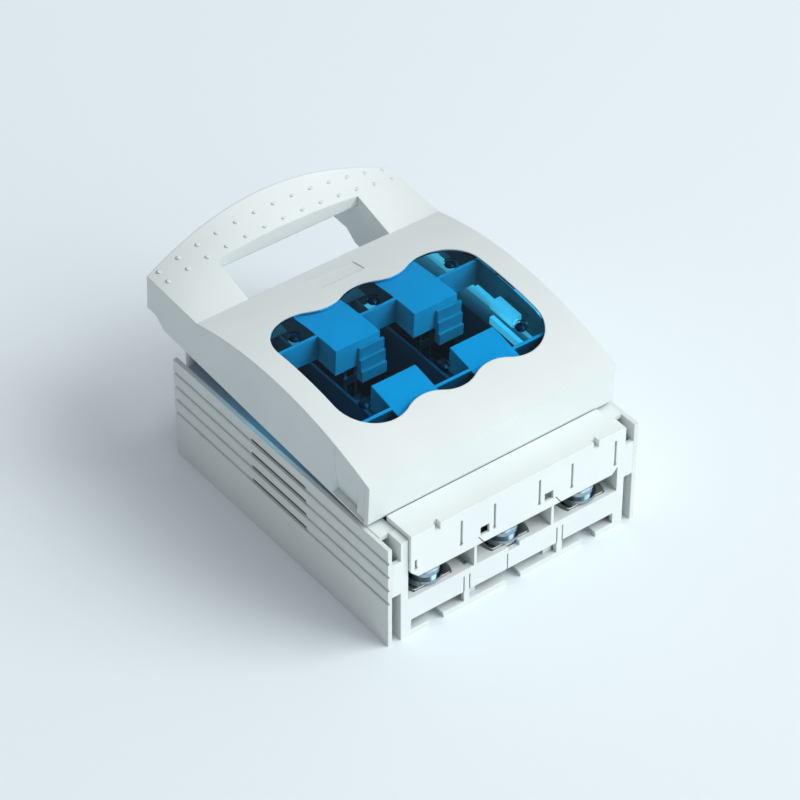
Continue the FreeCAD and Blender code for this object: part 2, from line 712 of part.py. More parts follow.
def add_hinge_lugs(body):
    """Lugs on both walls: a post behind the axis with an arm that reaches forward to the eye, so
    that the lid's lower edge can turn under it."""
    y, z, radius = hinge_y(), size.hinge_height, size.lug_radius
    post = y + size.lug_post_start
    for side in SIDES:
        low, high = mirrored(side, inside_half(), size.base_width / 2)
        pad(body, "YZ_Plane", low, high,
            Outline((y, z - radius), (post, z - radius), (post, size.base_height - 1),
                    (post + size.lug_post_length, size.base_height - 1),
                    (post + size.lug_post_length, z + radius), (y, z + radius, radius),
                    (y - radius, z, radius)))
        pocket(body, "YZ_Plane", low - 1, high + 1, Round(y, z, size.pin_radius + size.screw_gap))


def make_side_cover(side, label):
    """Side cover plate with grooves between its boards, a slot through each and pegs inside."""
    inner = size.base_width / 2 + size.duct_width
    outer = inner + size.cover_thickness
    half = size.base_length / 2
    corners = [(inner, 0), (outer, 0)]
    for board in range(BOARDS):
        ledge = size.board_start + board * size.board_height
        corners.append((outer, ledge))
        corners.append((outer - size.board_groove_depth, ledge))
        corners.append((outer, ledge + size.board_groove_height))
    corners.append((outer, size.cover_height))
    corners.append((inner, size.cover_height))
    body = new_body(label)
    pad(body, "XZ_Plane", -half, half, Outline(*[(side * x, z) for x, z in corners]))
    start = size.slot_start - half
    slots = []
    for board in range(BOARDS):
        bottom = size.board_start + board * size.board_height + size.slot_offset
        slots.append(rectangle(start, bottom, start + size.slot_length, bottom + size.slot_height))
    pocket(body, "YZ_Plane", *mirrored(side, inner - 1, outer + 1), *slots)
    pad(body, "YZ_Plane", *mirrored(side, inner - size.cover_peg_length, inner),
        *[Round(y, z, size.cover_peg_radius) for y, z in cover_peg_places()])
    return keep(body, label)


def make_terminal_cover(end, top, label):
    """Clip-on terminal cover: an angled shell with slits and square holes for small wires."""
    body = new_body(label)
    half = shroud_half()
    wall, gap = size.shroud_wall, size.shroud_gap
    near = from_end(end, -gap - wall)
    inner = from_end(end, -gap)
    back = from_end(end, size.shroud_depth)
    profile = Outline((near, size.shroud_bottom), (inner, size.shroud_bottom), (inner, top - wall),
                      (back, top - wall), (back, top), (near, top))
    pad(body, "YZ_Plane", -half, half, profile)
    for side in SIDES:
        pad(body, "YZ_Plane", *mirrored(side, half - wall, half),
            rectangle(near, size.slit_bottom, back, top - wall))
    low, high = end_span(end, -gap - wall - 1, 1)
    corner = size.shroud_corner
    openings = [Outline((side * (half + 1), size.shroud_bottom - 1),
                        (side * (half + 1), size.shroud_bottom + corner),
                        (side * (half - corner), size.shroud_bottom - 1)) for side in SIDES]
    slits = [(side * share, size.slit_top) for side in SIDES
             for share in (size.inner_slit, size.middle_slit)]
    slits += [(size.outer_slit, size.slit_top), (-1 * size.outer_slit, size.short_slit_top)]
    openings += [footed_slit(half * share, ceiling) for share, ceiling in slits]
    cut = size.window_cut / 2
    floor, rise, lean = size.shroud_bottom, size.split_rise, size.split_lean
    for side in SIDES:
        x = side * size.window_cut_offset
        openings.append(rectangle(x - cut, size.slit_bottom, x + cut, size.slit_bottom + 2 * cut))
        x = side * pole_pitch() / 2
        openings.append(Outline((x, floor + rise), (x + lean, floor), (x + lean, floor - 1),
                                (x + lean + size.split_width, floor - 1),
                                (x + lean + size.split_width, floor), (x + size.split_width, floor + rise)))
    pocket(body, "XZ_Plane", low, high, *openings)
    add_rim_recesses(body, end, half, top)
    return keep(body, label)


def add_rim_recesses(body, end, half, top):
    """Two walled recesses in the upper front edge of a terminal cover."""
    outer = -size.shroud_gap - size.shroud_wall
    reach = size.rim_notch_reach + outer
    notch, wall = size.rim_notch_width / 2, size.rim_notch_wall
    places = [side * half * size.rim_notch for side in SIDES]
    floor = top - size.rim_notch_height
    pad(body, "XZ_Plane", *end_span(end, outer / 2, reach + wall),
        *[rectangle(x - notch - wall, floor - wall, x + notch + wall, top - size.shroud_wall / 2)
          for x in places])
    pocket(body, "XZ_Plane", *end_span(end, outer - 1, reach),
           *[rectangle(x - notch, floor, x + notch, top + 1) for x in places])


def footed_slit(x, ceiling):
    """An upright slit that ends below in a round foot."""
    slit, foot = size.slit_width / 2, size.slit_foot_radius
    middle = size.slit_bottom + foot
    shoulder = middle + root(foot * foot - slit * slit)
    return Outline((x - slit, ceiling), (x - slit, shoulder, foot), (x - foot, middle, foot),
                   (x, size.slit_bottom, foot), (x + foot, middle, foot), (x + slit, shoulder),
                   (x + slit, ceiling))


def bar_top():
    return bar_seat() + size.bar_thickness


def make_terminal_bar(pole, end, label):
    """Flat bar that runs from the terminal bolt to the jaw contact."""
    x = pole_x(pole)
    half = size.bar_width / 2
    near, far = from_end(end, size.bar_inset), from_end(end, size.bar_end)
    low, high = (near, far) if end == FRONT else (far, near)
    body = new_body(label)
    pad(body, "XY_Plane", bar_seat(), bar_top(),
        rounded_rectangle(x - half, low, x + half, high, size.bar_corner))
    pocket(body, "XY_Plane", bar_seat() - 1, bar_top() + 1,
           Round(x, from_end(end, size.bolt_inset), size.bolt_radius + size.screw_gap))
    return keep(body, label)


def hexagon(x, y, low, high, flats):
    prism = doc.addObject("Part::Prism", "hexagon")
    prism.Polygon = 6
    bind(prism, Circumradius=flats / math.sqrt(3), Height=high - low)
    return place(prism, x, y, low)


def make_terminal_hardware(end, name):
    """Bolt, flat washer, spring washer and square nut of the three terminals at one end."""
    y = from_end(end, size.bolt_inset)
    hole = size.bolt_radius + size.screw_gap
    washer_top = bar_top() + size.washer_thickness
    spring_top = washer_top + size.spring_washer_thickness
    flange_top = spring_top + size.bolt_flange_height
    head_top = spring_top + size.bolt_head_height
    nut_half = size.nut_side / 2
    bolts, washers, springs, nuts = [], [], [], []
    for pole in POLES:
        x = pole_x(pole)
        bolts.append(joined(rod(x, y, size.bolt_tip, spring_top, size.bolt_radius),
                            rod(x, y, spring_top, flange_top, size.bolt_flange_radius),
                            hexagon(x, y, flange_top, head_top, size.bolt_flats)))
        washers.append(without(rod(x, y, bar_top(), washer_top, size.washer_radius),
                               rod(x, y, bar_top() - 1, washer_top + 1, hole)))
        split = size.spring_washer_split / 2
        springs.append(without(
            rod(x, y, washer_top, spring_top, size.spring_washer_radius),
            rod(x, y, washer_top - 1, spring_top + 1, hole),
            block((x, y - split, washer_top - 1),
                  (x + size.spring_washer_radius + 1, y + split, spring_top + 1))))
        nuts.append(without(
            block((x - nut_half, y - nut_half, bar_seat() - size.nut_height),
                  (x + nut_half, y + nut_half, bar_seat())),
            rod(x, y, bar_seat() - size.nut_height - 1, bar_seat() + 1, hole)))
    group("terminal_bolts_" + name, bolts)
    group("terminal_washers_" + name, washers)
    group("spring_washers_" + name, springs)
    group("captive_nuts_" + name, nuts)


def jaw_span(end):
    return end_span(end, size.jaw_start, size.jaw_start + size.jaw_length)


def make_jaw(pole, end, label):
    """Sprung jaw: two leaves on a foot, flared at the top to lead the blade in."""
    x, foot, sheet = pole_x(pole), bar_top(), size.jaw_sheet
    inner = size.jaw_mouth / 2
    outer = inner + sheet
    top = foot + size.jaw_height
    bend = top - size.jaw_flare_height
    flare = size.jaw_flare
    right = [(size.jaw_foot / 2, foot), (size.jaw_foot / 2, foot + sheet), (outer, foot + sheet),
             (outer, bend), (outer + flare, top), (inner + flare, top), (inner, bend),
             (inner, foot + sheet)]
    corners = [(x + u, z) for u, z in right] + [(x - u, z) for u, z in reversed(right)]
    body = new_body(label)
    pad(body, "XZ_Plane", *jaw_span(end), Outline(*corners))
    return keep(body, label)


def make_jaw_springs():
    """Rectangular steel springs that press the leaves of each jaw together."""
    springs = []
    leaf = size.jaw_mouth / 2 + size.jaw_sheet + size.spring_gap
    top = bar_top() + size.jaw_height - size.spring_drop
    low_z = top - size.spring_height
    for pole in POLES:
        x = pole_x(pole)
        for end in SIDES:
            low, high = jaw_span(end)
            hole = size.spring_gap
            wall = size.spring_gap + size.spring_sheet
            ring = block((x - leaf - size.spring_sheet, low - wall, low_z),
                         (x + leaf + size.spring_sheet, high + wall, top))
            springs.append(without(ring, block((x - leaf, low - hole, low_z - 1),
                                               (x + leaf, high + hole, top + 1))))
    return group("jaw_springs", springs)


def make_arc_chamber(pole, end, label):
    """Hood round a jaw, open below and slotted for the blade, with room for the arc plates."""
    x = pole_x(pole)
    half, wall, slot = size.chamber_width / 2, size.chamber_wall, size.chamber_slot / 2
    bottom, top = size.ledge_height, size.chamber_top
    low, high = end_span(end, size.chamber_start, size.chamber_start + size.chamber_length)
    inner = end_span(end, size.chamber_start + wall, size.chamber_start + size.chamber_length - wall)
    body = new_body(label)
    pad(body, "XY_Plane", bottom, top, rectangle(x - half, low, x + half, high))
    pocket(body, "XY_Plane", bottom - 1, top - wall,
           rectangle(x - half + wall, inner[0], x + half - wall, inner[1]))
    slot_span = end_span(end, size.chamber_start + wall, size.chamber_start + size.chamber_length + 1)
    pocket(body, "XY_Plane", bottom - 1, top + 1, rectangle(x - slot, slot_span[0], x + slot, slot_span[1]))
    groove = size.bar_width / 2 + size.running_gap
    pocket(body, "XZ_Plane", low - 1, high + 1,
           rectangle(x - groove, bottom - 1, x + groove, bar_top() + size.running_gap))
    return keep(body, label)


def make_arc_plates(end, label):
    """Stacked steel plates on both sides of each jaw, which split the arc."""
    plates = []
    low, high = end_span(end, size.chamber_start + size.chamber_wall,
                         size.chamber_start + size.chamber_length - size.chamber_wall)
    outer = size.chamber_width / 2 - size.chamber_wall
    inner = size.chamber_slot / 2
    for pole in POLES:
        for side in SIDES:
            for level in range(ARC_PLATES):
                z = size.arc_plate_start + level * size.arc_plate_pitch
                edges = sorted((side * inner, side * outer), key=lambda edge: edge.value)
                x = pole_x(pole)
                plates.append(block((x + edges[0], low, z),
                                    (x + edges[1], high, z + size.arc_plate_thickness)))
    return group(label, plates)


def arch_centre():
    """Height of the arch's centre over the hinge axis."""
    half_chord = size.lid_length / 2
    radius = size.lid_arch_radius
    return size.lid_edge_height - root(radius * radius - half_chord * half_chord)


def arch_height(drop, y):
    """Height over the hinge axis of the surface that lies a drop inside the arch."""
    radius = size.lid_arch_radius - drop
    offset = y - lid_middle()
    return arch_centre() + root(radius * radius - offset * offset)


def lid_front():
    return -size.lid_front_reach


def lid_crease():
    return lid_front() + size.lid_length


def lid_middle():
    return lid_front() + size.lid_length / 2


def arched_profile(drop, front, rear, bottom):
    """Side view between two Y values, flat below and parallel to the lid's arch above."""
    return Outline((front, bottom), (rear, bottom),
                   (rear, arch_height(drop, rear), size.lid_arch_radius - drop),
                   (front, arch_height(drop, front)))


def lobed_outline(offset):
    """Window outline: three lobes and two valleys of one radius on each long side."""
    pitch, wave, half = pole_pitch() - size.lobe_inset, size.lobe_wave, size.window_half
    radius = (pitch * pitch / 4 + wave * wave) / (4 * wave)
    sine, cosine = pitch / (4 * radius), 1 - wave / (2 * radius)
    lobe, valley = radius + offset, -1 * (radius - offset)
    middle = lid_front() + size.window_centre
    lobe_centre = half - radius
    side, shoulder = pitch + lobe, lobe_centre + lobe * cosine
    right = [(side, lobe_centre, lobe), (pitch - lobe * sine, shoulder, valley),
             (lobe * sine, shoulder, lobe), (-lobe * sine, shoulder, valley),
             (lobe * sine - pitch, shoulder, lobe), (-side, lobe_centre)]
    rear = [(corner[0], middle + corner[1]) + corner[2:] for corner in right]
    front = [(-corner[0], middle - corner[1]) + corner[2:] for corner in right]
    return Outline(*(rear + front))


def make_lid():
    """Arched moulded lid with a crowned handle, a finger opening and the lobed window opening."""
    body = new_body("lid")
    half = lid_half()
    bottom = -size.lid_skirt_drop
    front, toe = lid_front(), size.lid_toe_radius
    pad(body, "YZ_Plane", -half, half,
        Outline((front + toe, bottom), (lid_crease(), bottom),
                (lid_crease(), size.lid_edge_height, size.lid_arch_radius),
                (front, size.lid_edge_height), (front, bottom + toe, toe)))
    loft_handle(body, half, bottom)
    trim_handle(body, half, bottom)
    hollow_lid(body, half, bottom)
    hollow_handle(body, half, bottom)
    pocket(body, "XY_Plane", size.lid_edge_height - size.grip_depth, handle_top(), lobed_outline(0))
    recess = size.label_depth
    near, far = lid_front() + size.label_start, lid_front() + size.label_start + size.label_length
    pocket(body, "YZ_Plane", -size.label_width / 2, size.label_width / 2,
           Outline((near, arch_height(recess, near)), (far, arch_height(recess, far)),
                   (far, arch_height(0, far) + 1), (near, arch_height(0, near) + 1)))
    cut_side_recesses(body, half, bottom)
    add_pin_bosses(body, half)
    add_screw_bosses(body)
    return keep(hang_on_lid(body), "lid")


def handle_end():
    return lid_crease() + size.handle_length


def handle_top():
    return size.lid_edge_height + size.handle_crown + 1


def handle_section(half, bottom, top, crown):
    """Cross-section of the handle: flat below, crowned above."""
    radius = (half * half + crown * crown) / (2 * crown)
    return Outline((-half, bottom), (half, bottom), (half, top, radius), (-half, top))


def loft_handle(body, half, bottom):
    """Loft from the nearly straight crease to the crowned end."""
    top = size.lid_edge_height
    start = new_sketch(body, "XZ_Plane", lid_crease(),
                       [handle_section(half, bottom, top, size.handle_crown / 100)])
    end = new_sketch(body, "XZ_Plane", handle_end(),
                     [handle_section(half, bottom, top, size.handle_crown)])
    feature = body.newObject("PartDesign::AdditiveLoft", "lid_handle_loft")
    feature.Profile = start
    feature.Sections = [end]
    feature.Ruled = True


def trim_handle(body, half, bottom):
    """Bow the handle's end in plan, step its underside up and cut the finger opening through."""
    end, bow = handle_end(), size.handle_bow
    radius = (half * half + bow * bow) / (2 * bow)
    far = end + 5
    pocket(body, "XY_Plane", bottom - 1, handle_top(),
           Outline((-half, end - bow), (-half - 1, end - bow), (-half - 1, far), (half + 1, far),
                   (half + 1, end - bow), (half, end - bow, radius)))
    step = lid_crease() + size.handle_step_start
    rise = bottom + size.handle_step_rise
    pocket(body, "YZ_Plane", -half - 1, half + 1,
           Outline((step, bottom), (step, bottom - 1), (far, bottom - 1), (far, rise),
                   (step + size.handle_step_length, rise)))
    finger = finger_half()
    rail = lid_crease() + size.finger_length
    pocket(body, "XY_Plane", bottom - 1, handle_top(),
           rectangle(-finger, lid_crease() + size.crease_overlap, finger, rail))
    pocket(body, "XY_Plane", bottom - 1, size.lid_edge_height,
           rectangle(-finger, rail - 1, finger, far))


def hollow_lid(body, half, bottom):
    """Take out the inside parallel to the arch, with a wall all round."""
    wall = size.lid_wall
    front, rear = lid_front() + wall, lid_crease() + size.crease_overlap - wall
    pocket(body, "YZ_Plane", wall - half, half - wall,
           arched_profile(wall, front, rear, bottom - 1))


def hollow_handle(body, half, bottom):
    """Channels in both arms, open below, and one along the grip."""
    wall = size.lid_wall
    finger = finger_half()
    rail = lid_crease() + size.finger_length
    far = handle_end() - size.handle_bow - size.hollow_end_wall
    for side in SIDES:
        low, high = mirrored(side, finger + wall, half - wall)
        pocket(body, "XY_Plane", bottom - 1, size.lid_edge_height - wall,
               rectangle(low, lid_crease() - 2 * wall, high, far))
    pocket(body, "XY_Plane", size.lid_edge_height - 1, size.lid_edge_height + size.grip_depth - wall,
           rectangle(wall - finger, rail + wall, finger - wall, far))


def cut_side_recesses(body, half, bottom):
    """A shallow recess in both sides near the front, whose rear part slants in towards its foot."""
    depth, wall = size.side_recess_depth, size.undercut_wall
    near, far = lid_front() + size.side_recess_start, lid_front() + size.side_recess_end
    start = lid_front() + size.undercut_start
    foot, head = bottom + size.side_recess_lip, size.undercut_top
    face = half - depth
    inner = half - size.undercut_depth
    for side in SIDES:
        thick = [(half - size.lid_wall / 2, bottom), (half - size.lid_wall / 2, head),
                 (face - wall, head), (inner - wall, foot), (inner - wall, bottom)]
        hollow = [(half + 1, foot), (half + 1, head), (face, head), (inner, foot)]
        pad(body, "XZ_Plane", start - wall, far + wall, Outline(*[(side * x, z) for x, z in thick]))
        pocket(body, "YZ_Plane", *mirrored(side, face, half + 1),
               arched_profile(size.side_recess_rim, near, far, foot))
        pocket(body, "XZ_Plane", start, far, Outline(*[(side * x, z) for x, z in hollow]))


def add_pin_bosses(body, half):
    """Bored bosses to each side of the hinge lugs, joined to the front and side walls."""
    radius = size.pin_boss_radius
    lug_inner, lug_outer = inside_half(), size.base_width / 2
    front = lid_front() + size.lid_wall / 2
    for side in SIDES:
        spans = ((lug_outer + size.running_gap, half - size.lid_wall / 2),
                 (lug_inner - size.running_gap - size.pin_boss_length, lug_inner - size.running_gap))
        for span in spans:
            pad(body, "YZ_Plane", *mirrored(side, *span),
                Outline((front, -radius), (0, -radius, radius), (radius, 0, radius), (0, radius),
                        (front, radius)))
        bore = mirrored(side, spans[1][0] - 1, half - size.lid_wall)
        pocket(body, "YZ_Plane", *bore, Round(0, 0, size.pin_radius + size.screw_gap))


def make_hinge_pins():
    """Steel pins of the lid through the eyes of the lugs."""
    inner = inside_half() - size.running_gap - size.pin_boss_length
    outer = lid_half() - size.lid_wall - size.running_gap
    pins = [rod_along_x(*mirrored(side, inner, outer), 0, 0, size.pin_radius) for side in SIDES]
    return hang_on_lid(group("hinge_pins", pins))


def above_arch(drop, front, rear, ceiling):
    """Side view of what lies above the surface a drop inside the arch."""
    return Outline((rear, ceiling), (front, ceiling), (front, arch_height(drop, front),
                   -1 * (size.lid_arch_radius - drop)), (rear, arch_height(drop, rear)))


def make_window():
    """Tinted window: a lobed pane that fills the lid's opening, a flange under the lid and six
    low round bosses over the test probes."""
    body = new_body("window")
    under = size.lid_wall + size.window_seat
    sheet = under + size.window_flange_sheet
    pane = size.window_set_back
    low, high = size.lid_edge_height - size.grip_depth, handle_top()
    middle = lid_front() + size.window_centre
    reach = size.window_half + size.window_flange + 5
    wide = lid_half()
    for offset, drop in ((size.window_flange, under), (-size.window_gap, pane)):
        pad(body, "XY_Plane", low, high, lobed_outline(offset))
        pocket(body, "YZ_Plane", -wide, wide, above_arch(drop, middle - reach, middle + reach, high + 1))
    pocket(body, "YZ_Plane", -wide, wide,
           arched_profile(sheet, middle - reach, middle + reach, low - 1))
    spread = size.probe_boss_spread
    crest = arch_height(pane, middle + spread) + size.probe_boss_rise
    pad(body, "XY_Plane", crest - size.probe_boss_rise - under, crest,
        *[Round(pole_x(pole), middle + side * spread, size.probe_boss_radius)
          for pole in POLES for side in SIDES])
    return keep(hang_on_lid(body), "window")


def carrier_drop():
    """How far the carrier's top lies below the lid's face: it clamps the window flange."""
    return size.lid_wall + size.window_seat + size.window_flange_sheet + size.carrier_gap


def make_carrier():
    """Fuse carrier: an arched frame with openings over the poles, hollow blocks between them and
    cross walls that the fuse links lie between."""
    body = new_body("fuse_carrier")
    half = carrier_half()
    start, end, bottom = size.carrier_start, size.carrier_end, size.carrier_bottom
    pad(body, "YZ_Plane", -half, half, arched_profile(carrier_drop(), start, end, bottom))
    opening, wall = size.chamber_opening / 2, size.cross_wall
    rail = half - size.carrier_rail
    pocket(body, "XY_Plane", bottom - 1, handle_top(),
           rectangle(-rail, size.carrier_front_block, rail, size.carrier_rear_block))
    for low, high in ((start + 3 * wall, size.cross_wall_front),
                      (size.cross_wall_front + wall, size.carrier_front_block + 1),
                      (size.carrier_rear_block - 1, size.cross_wall_rear),
                      (size.cross_wall_rear + wall, end - 3 * wall)):
        pocket(body, "XY_Plane", bottom - 1, handle_top(),
               rectangle(-rail, low, pole_x(-1) + opening, high), rectangle(-opening, low, opening, high),
               rectangle(pole_x(1) - opening, low, rail, high))
    hollow_carrier_blocks(body, opening)
    pocket(body, "XY_Plane", bottom - 1, handle_top(),
           *[Round(x, y, size.carrier_screw_radius + size.screw_gap)
             for x, y in carrier_screw_places()])
    return keep(hang_on_lid(body), "fuse_carrier")


def hollow_carrier_blocks(body, opening):
    """Leave a skin round the blocks between the poles, open below."""
    skin = size.carrier_skin
    for side in SIDES:
        middle = side * pole_pitch() / 2
        reach = pole_pitch() / 2 - opening - skin
        for front, rear in ((size.carrier_start, size.carrier_front_block),
                            (size.carrier_rear_block, size.carrier_end)):
            pocket(body, "YZ_Plane", middle - reach, middle + reach,
                   arched_profile(carrier_drop() + skin, front + skin, rear - skin,
                                  size.carrier_bottom - 1))


def carrier_screw_places():
    x = carrier_half() - size.carrier_screw_inset_x
    near = size.carrier_start + size.carrier_screw_inset_y
    far = size.carrier_end - size.carrier_screw_inset_y
    return [(side * x, y) for side in SIDES for y in (near, far)]


def screw_tip(y):
    return arch_height(size.lid_wall, y) + size.carrier_screw_bite


def add_screw_bosses(body):
    """Bosses under the lid that the carrier is screwed to, each seated on the arch of the carrier."""
    for x, y in carrier_screw_places():
        inward = math.copysign(1, lid_middle().value - y.value)
        seat = arch_height(carrier_drop(), y + inward * size.carrier_boss_radius)
        pad(body, "XY_Plane", seat, arch_height(size.lid_wall / 2, y),
            Round(x, y, size.carrier_boss_radius))
        pocket(body, "XY_Plane", seat - 1, screw_tip(y) + size.screw_gap,
               Round(x, y, size.carrier_screw_radius + size.screw_gap))


def make_carrier_screws():
    """Screws from below that hold the carrier to the lid."""
    screws = []
    bottom = size.carrier_bottom
    for x, y in carrier_screw_places():
        screws.append(joined(rod(x, y, bottom, screw_tip(y), size.carrier_screw_radius),
                             rod(x, y, bottom - size.carrier_head_height, bottom,
                                 size.carrier_head_radius)))
    return hang_on_lid(group("carrier_screws", screws))


def make_link_latch(side, label):
    """Stepped latch that slides on the front face of a rear block and frees the fuse link."""
    middle = side * pole_pitch() / 2 + size.latch_offset
    back = size.carrier_rear_block - size.running_gap
    low, top = size.latch_bottom, size.latch_bottom + size.latch_height
    corners = [(back, low)]
    rise = size.latch_height / LATCH_STEPS
    for step in range(LATCH_STEPS):
        front = back - size.latch_sheet - (LATCH_STEPS - 1 - step) * size.latch_step
        corners.append((front, low + step * rise))
        corners.append((front, low + (step + 1) * rise))
    corners.append((back, top))
    body = new_body(label)
    pad(body, "YZ_Plane", middle - size.latch_width / 2, middle + size.latch_width / 2,
        Outline(*reversed(corners)))
    return keep(hang_on_lid(body), label)


def signal_rod_x():
    return pole_x(1) + size.chamber_opening / 2 - size.sleeve_width / 2


def make_signal_rod():
    """Light rod that slides in its sleeve when the lid is pressed home."""
    start = size.rod_start
    pin = rod_along_y(signal_rod_x(), start, start + size.rod_length, size.rod_height, size.rod_radius)
    return hang_on_lid(group("signal_rod", [pin]))


def make_rod_sleeve():
    """Bored block with a foot on the side rail of the carrier."""
    x, half, z = signal_rod_x(), size.sleeve_width / 2, size.rod_height
    low, high = size.sleeve_start, size.sleeve_start + size.sleeve_length
    body = new_body("rod_sleeve")
    pad(body, "XZ_Plane", low, high,
        Outline((x, z - half), (x + half, z - half), (x + half, z + half), (x, z + half, half),
                (x - half, z, half)), Round(x, z, size.rod_radius + size.screw_gap))
    foot = size.sleeve_foot / 2
    pad(body, "XZ_Plane", low, high,
        rectangle(x + half, z - foot, carrier_half() - size.carrier_rail, z + foot))
    return keep(hang_on_lid(body), "rod_sleeve")


def make_guide_strip():
    """Strip that reaches from the front cross wall of the third pole."""
    start = size.cross_wall_front + size.cross_wall
    x, half = pole_x(1) - size.strip_offset, size.strip_width / 2
    body = new_body("guide_strip")
    pad(body, "XY_Plane", size.rod_height - size.strip_height / 2,
        size.rod_height + size.strip_height / 2,
        rectangle(x - half, start, x + half, start + size.strip_length))
    return keep(hang_on_lid(body), "guide_strip")


def make_everything():
    make_base_housing()
    for side, name in ((-1, "left"), (1, "right")):
        make_side_cover(side, "side_cover_" + name)
    make_terminal_cover(FRONT, size.shroud_top, "front_terminal_cover")
    make_terminal_cover(REAR, size.rear_shroud_top, "rear_terminal_cover")
    for end, name in ((FRONT, "front"), (REAR, "rear")):
        make_terminal_hardware(end, name)
        for number, pole in enumerate(POLES, start=1):
            make_terminal_bar(pole, end, "terminal_bar_%s_%d" % (name, number))
            make_jaw(pole, end, "jaw_%s_%d" % (name, number))
            make_arc_chamber(pole, end, "arc_chamber_%s_%d" % (name, number))
        make_arc_plates(end, "arc_plates_" + name)
    make_jaw_springs()
    make_lid()
    make_hinge_pins()
    make_window()
    make_carrier()
    make_carrier_screws()
    make_link_latch(-1, "link_latch_1")
    make_link_latch(1, "link_latch_2")
    make_signal_rod()
    make_rod_sleeve()
    make_guide_strip()


def check_document():
    """Stop on any object that failed, and on a feature that changed nothing."""
    faults = []
    for thing in doc.Objects:
        if {"Invalid", "Error"} & set(thing.State):
            faults.append("%s: %s" % (thing.Name, thing.State))
        elif thing.isDerivedFrom("PartDesign::FeatureAddSub") and thing.BaseFeature:
            before = thing.BaseFeature.Shape
            if before.isNull() or abs(thing.Shape.Volume - before.Volume) < 1e-3:
                faults.append("%s changes nothing" % thing.Name)
    for thing in sub_parts:
        if thing.Shape.isNull() or not thing.Shape.isValid() or not thing.Shape.Solids:
            faults.append("%s has no valid shape" % thing.Label)
    if faults:
        print("\n".join(faults[:12]))
        raise RuntimeError("\n".join(faults))


def write_parts():
    os.makedirs("parts", exist_ok=True)
    for thing in sub_parts:
        thing.Shape.exportStep("parts/%s.step" % thing.Label)
        box = thing.Shape.BoundBox
        print("%-28s solids %2d  volume %9.0f  x %7.1f %7.1f  y %7.1f %7.1f  z %6.1f %6.1f" % (
            thing.Label, len(thing.Shape.Solids), thing.Shape.Volume,
            box.XMin, box.XMax, box.YMin, box.YMax, box.ZMin, box.ZMax))


make_everything()
doc.recompute()
check_document()
write_parts()
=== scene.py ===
import logging
import math
from dataclasses import dataclass, field
from enum import Enum
from typing import Any, Callable, Dict, List, Optional, Sequence, Tuple, Union

import bmesh
import bpy
from mathutils import Matrix, Vector


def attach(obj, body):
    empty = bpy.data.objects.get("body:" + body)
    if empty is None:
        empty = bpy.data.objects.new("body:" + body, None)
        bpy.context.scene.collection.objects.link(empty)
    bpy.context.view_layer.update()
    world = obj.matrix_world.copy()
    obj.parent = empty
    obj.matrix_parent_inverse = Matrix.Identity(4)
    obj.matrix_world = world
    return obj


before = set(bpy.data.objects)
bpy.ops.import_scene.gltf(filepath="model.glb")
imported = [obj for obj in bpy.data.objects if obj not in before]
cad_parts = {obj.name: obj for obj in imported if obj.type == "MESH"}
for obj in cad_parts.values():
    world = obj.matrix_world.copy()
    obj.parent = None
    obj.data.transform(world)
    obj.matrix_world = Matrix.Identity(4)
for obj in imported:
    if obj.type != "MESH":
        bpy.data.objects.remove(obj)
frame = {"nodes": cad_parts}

LOG = logging.getLogger("fused_isolator")
MM = 0.001
POLES = (1, 2, 3)
ENDS = ("front", "rear")

Colour = Tuple[float, float, float]
Point = Tuple[float, float, float]
Stops = Tuple[Tuple[float, float], ...]
Socket = bpy.types.NodeSocket
Number = Union["Value", float]
Paint = Union[Socket, Colour]


def darker(colour: Colour, share: float) -> Colour:
    """Return the colour with a share taken away."""
    return tuple(channel * (1.0 - share) for channel in colour)


def show(name: str, data: bpy.types.ID) -> bpy.types.Object:
    """Make an object of a mesh, lamp or camera and link it to the scene.

    Args:
        name: The object's name.
        data: What it shows.

    Returns:
        The new object.
    """
    thing = bpy.data.objects.new(name, data)
    bpy.context.scene.collection.objects.link(thing)
    return thing


class Value:
    """A number socket that arithmetic adds Math nodes to."""

    def __init__(self, nodes: "Nodes", socket: Socket) -> None:
        """Wrap an output socket of a node tree."""
        self.nodes = nodes
        self.socket = socket

    def math(self, operation: str, first: Number, second: Number) -> "Value":
        """Add one Math node.

        Args:
            operation: The Math node's operation.
            first: The first number or value.
            second: The second number or value.

        Returns:
            The node's result as a value.
        """
        node = self.nodes.node("ShaderNodeMath", {"operation": operation}, {0: first, 1: second})
        return Value(self.nodes, node.outputs[0])

    def __add__(self, other: Number) -> "Value":
        """Return self + other."""
        return self.math("ADD", self, other)

    def __radd__(self, other: Number) -> "Value":
        """Return other + self."""
        return self.math("ADD", other, self)

    def __sub__(self, other: Number) -> "Value":
        """Return self - other."""
        return self.math("SUBTRACT", self, other)

    def __rsub__(self, other: Number) -> "Value":
        """Return other - self."""
        return self.math("SUBTRACT", other, self)

    def __mul__(self, other: Number) -> "Value":
        """Return self * other."""
        return self.math("MULTIPLY", self, other)

    def __rmul__(self, other: Number) -> "Value":
        """Return other * self."""
        return self.math("MULTIPLY", other, self)

    def below(self, limit: float) -> "Value":
        """Return 1 where the value is less than a limit, and 0 elsewhere."""
        return self.math("LESS_THAN", self, limit)

    def above(self, limit: float) -> "Value":
        """Return 1 where the value is greater than a limit, and 0 elsewhere."""
        return self.math("GREATER_THAN", self, limit)

    def outside(self, low: float, high: float) -> "Value":
        """Return 1 where the value lies outside a span, and 0 within."""
        return self.below(low) + self.above(high)

    def greatest(self, other: "Value") -> "Value":
        """Return the greater of this and another value."""
        return self.math("MAXIMUM", self, other)

    def magnitude(self) -> "Value":
        """Return the value without its sign."""
        return self.math("ABSOLUTE", self, 0.0)

    def cycle(self, length: float) -> "Value":
        """Return the rest of a division by a length."""
        return self.math("MODULO", self, length)


